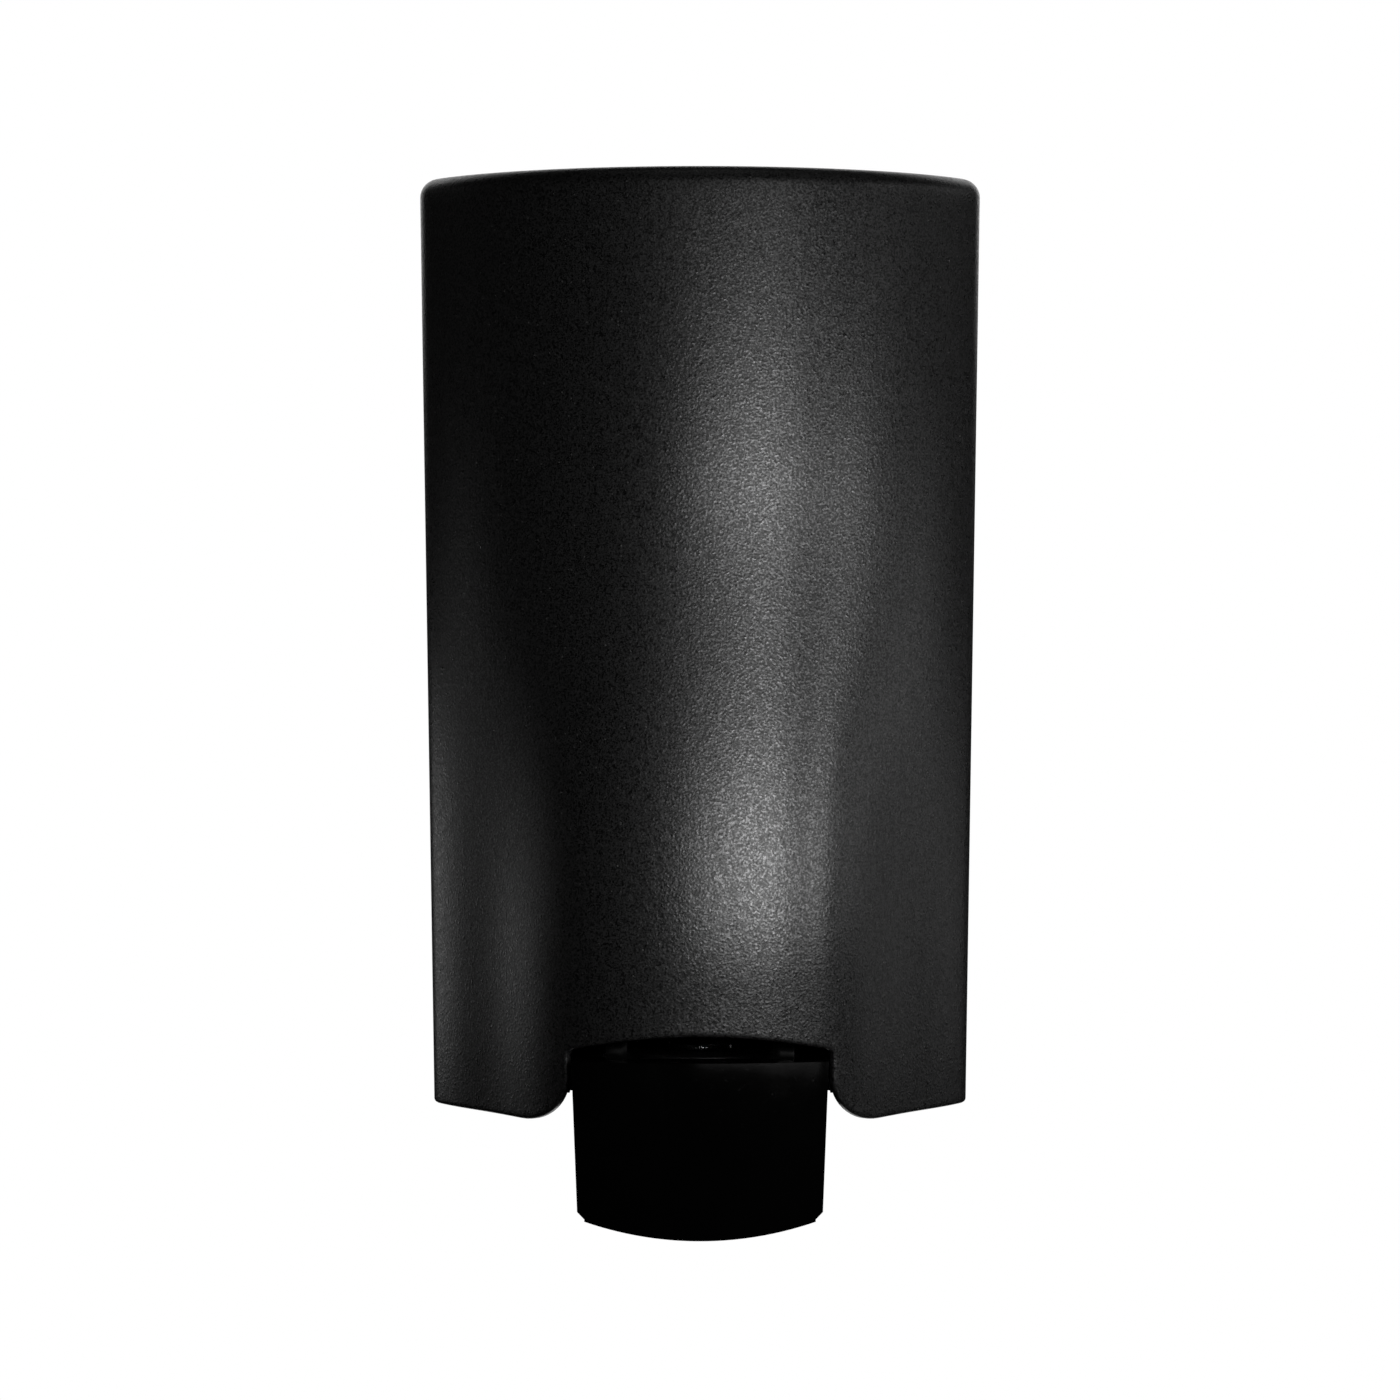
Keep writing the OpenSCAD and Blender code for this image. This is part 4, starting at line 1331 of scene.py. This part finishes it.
@dataclass
class Studio:
    """The floor, the lights, the white surroundings and the camera."""

    floor_z: float = -0.9
    floor_half: float = 3.4
    camera_place: tuple[float, float, float] = (0.0, -1.002, 0.0041)
    camera_pitch: float = 1.83
    lens: float = 112.8
    sensor: float = 36.0
    clip_start: float = 0.05
    ambient: float = 0.012
    # painted shade on the floor: within this distance of the middle, under the object, its glow is darkened
    # to the value below
    floor_near: float = 0.2
    floor_painted_shade: float = 0.80
    panels: Sequence[Panel] = (
        Panel("left_low", -110, -15, 0.3, 0.09, 0.034),
        Panel("left_rim", -90, -4, 0.3, 0.09, 0.0093),
        Panel("key_inner", 8, -1, 0.3, 0.09, 0.19),
        Panel("key_middle", 24, -1, 0.3, 0.09, 0.325),
        Panel("key_outer", 50, -2, 0.3, 0.09, 0.175),
        Panel("right_near", 80, -4, 0.3, 0.09, 0.0359),
        Panel("right_low", 100, -15, 0.3, 0.09, 0.0136),
        Panel("left_high", -100, 22, 0.9, 0.3, 0.03),
        Panel("high_middle", -5, 22, 0.9, 0.3, 0.12),
        Panel("high_right", 25, 22, 0.9, 0.3, 0.42),
        Panel("side_right", 70, 22, 0.9, 0.3, 0.24),
        Panel("rim_right", 100, 22, 0.9, 0.3, 0.2),
        Panel("rear_left", -158, 25, 1.2, 0.8, 2.4),
        Panel("rear_right", 158, 25, 1.2, 0.8, 2.4),
        Panel("overhead", 10, 84, 0.9, 0.5, 0.15),
        Panel("under_rear", 180, -55, 1.0, 0.8, 3.0),
    )

    def build(self) -> None:
        """Sets up the studio."""
        scene = bpy.context.scene
        scene.view_settings.view_transform = "Standard"
        scene.view_settings.look = "None"
        camera = bpy.data.objects.new("camera", bpy.data.cameras.new("camera"))
        camera.data.lens = self.lens
        camera.data.sensor_width = self.sensor
        camera.data.clip_start = self.clip_start
        camera.location = self.camera_place
        camera.rotation_euler = (math.radians(90 - self.camera_pitch), 0.0, 0.0)
        scene.collection.objects.link(camera)
        scene.camera = camera
        for panel in self.panels:
            panel.build()
        self.floor()
        self.surroundings()

    def floor(self) -> None:
        """Lays the pale floor, far below the object, with painted shade under it."""
        h, z = self.floor_half, self.floor_z
        mesh = bpy.data.meshes.new("floor")
        ring = [(h * math.cos(a), h * math.sin(a), z) for a in np.linspace(0, 2 * math.pi, 97)[:-1]]
        mesh.from_pydata(ring, [], [range(len(ring))])
        floor = shown("floor", mesh)
        mesh.materials.append(self.floor_paint())

    def floor_paint(self) -> Material:
        """Makes the floor's glowing pale paint, with painted shade: darker under the object, fading to white
        into the surroundings; it lights nothing.

        Returns:
            The paint.
        """
        paint = Paint("floor_pale")
        paint.put("Base Color", (0.05, 0.05, 0.05, 1))
        paint.put("Roughness", 1.0)
        xyz = paint.node("ShaderNodeSeparateXYZ", None, Vector=paint.coords).outputs
        flat = paint.node("ShaderNodeCombineXYZ", None, X=xyz["X"], Y=xyz["Y"])
        away = paint.node("ShaderNodeVectorMath", {"operation": "LENGTH"}, i0=flat.outputs[0])
        # painted shade: the floor's glow is darker near the middle, under the object, and fades to white far
        # out
        painted_shade = paint.range(away.outputs["Value"], self.floor_near, self.floor_half * 0.9,
                            self.floor_painted_shade, 1.0)
        grey = paint.node("ShaderNodeCombineColor", None, i0=painted_shade, i1=painted_shade, i2=painted_shade).outputs[0]
        glow = paint.node("ShaderNodeEmission", None, Color=grey)
        camera_ray = paint.node("ShaderNodeLightPath").outputs["Is Camera Ray"]
        lit = paint.shader.outputs[0]
        mixed = paint.node("ShaderNodeMixShader", None, i0=camera_ray, i1=lit, i2=glow.outputs[0])
        paint.tree.links.new(mixed.outputs[0], paint.out.inputs[0])
        return paint.material

    def surroundings(self) -> None:
        """Makes the surroundings white to the camera and dim to everything else."""
        world = bpy.data.worlds.new("surroundings")
        bpy.context.scene.world = world
        world.use_nodes = True
        tree = world.node_tree
        tree.nodes.clear()
        seen, felt = (add_node(tree, "ShaderNodeBackground", None, Color=(1, 1, 1, 1), Strength=s).outputs[0]
                      for s in (1.0, self.ambient))
        camera_ray = add_node(tree, "ShaderNodeLightPath").outputs["Is Camera Ray"]
        mixed = add_node(tree, "ShaderNodeMixShader", None, i0=camera_ray, i1=felt, i2=seen).outputs[0]
        add_node(tree, "ShaderNodeOutputWorld", None, Surface=mixed)


def main() -> None:
    """Builds the dispenser and its studio."""
    for part in (Cover(), HingeScrews(), WallUnit(), Reservoir(), Pump(), PushLever(), CoverLock(), Studio()):
        LOG.info("building %s", type(part).__name__)
        part.build()


if __name__ == "__main__":
    main()
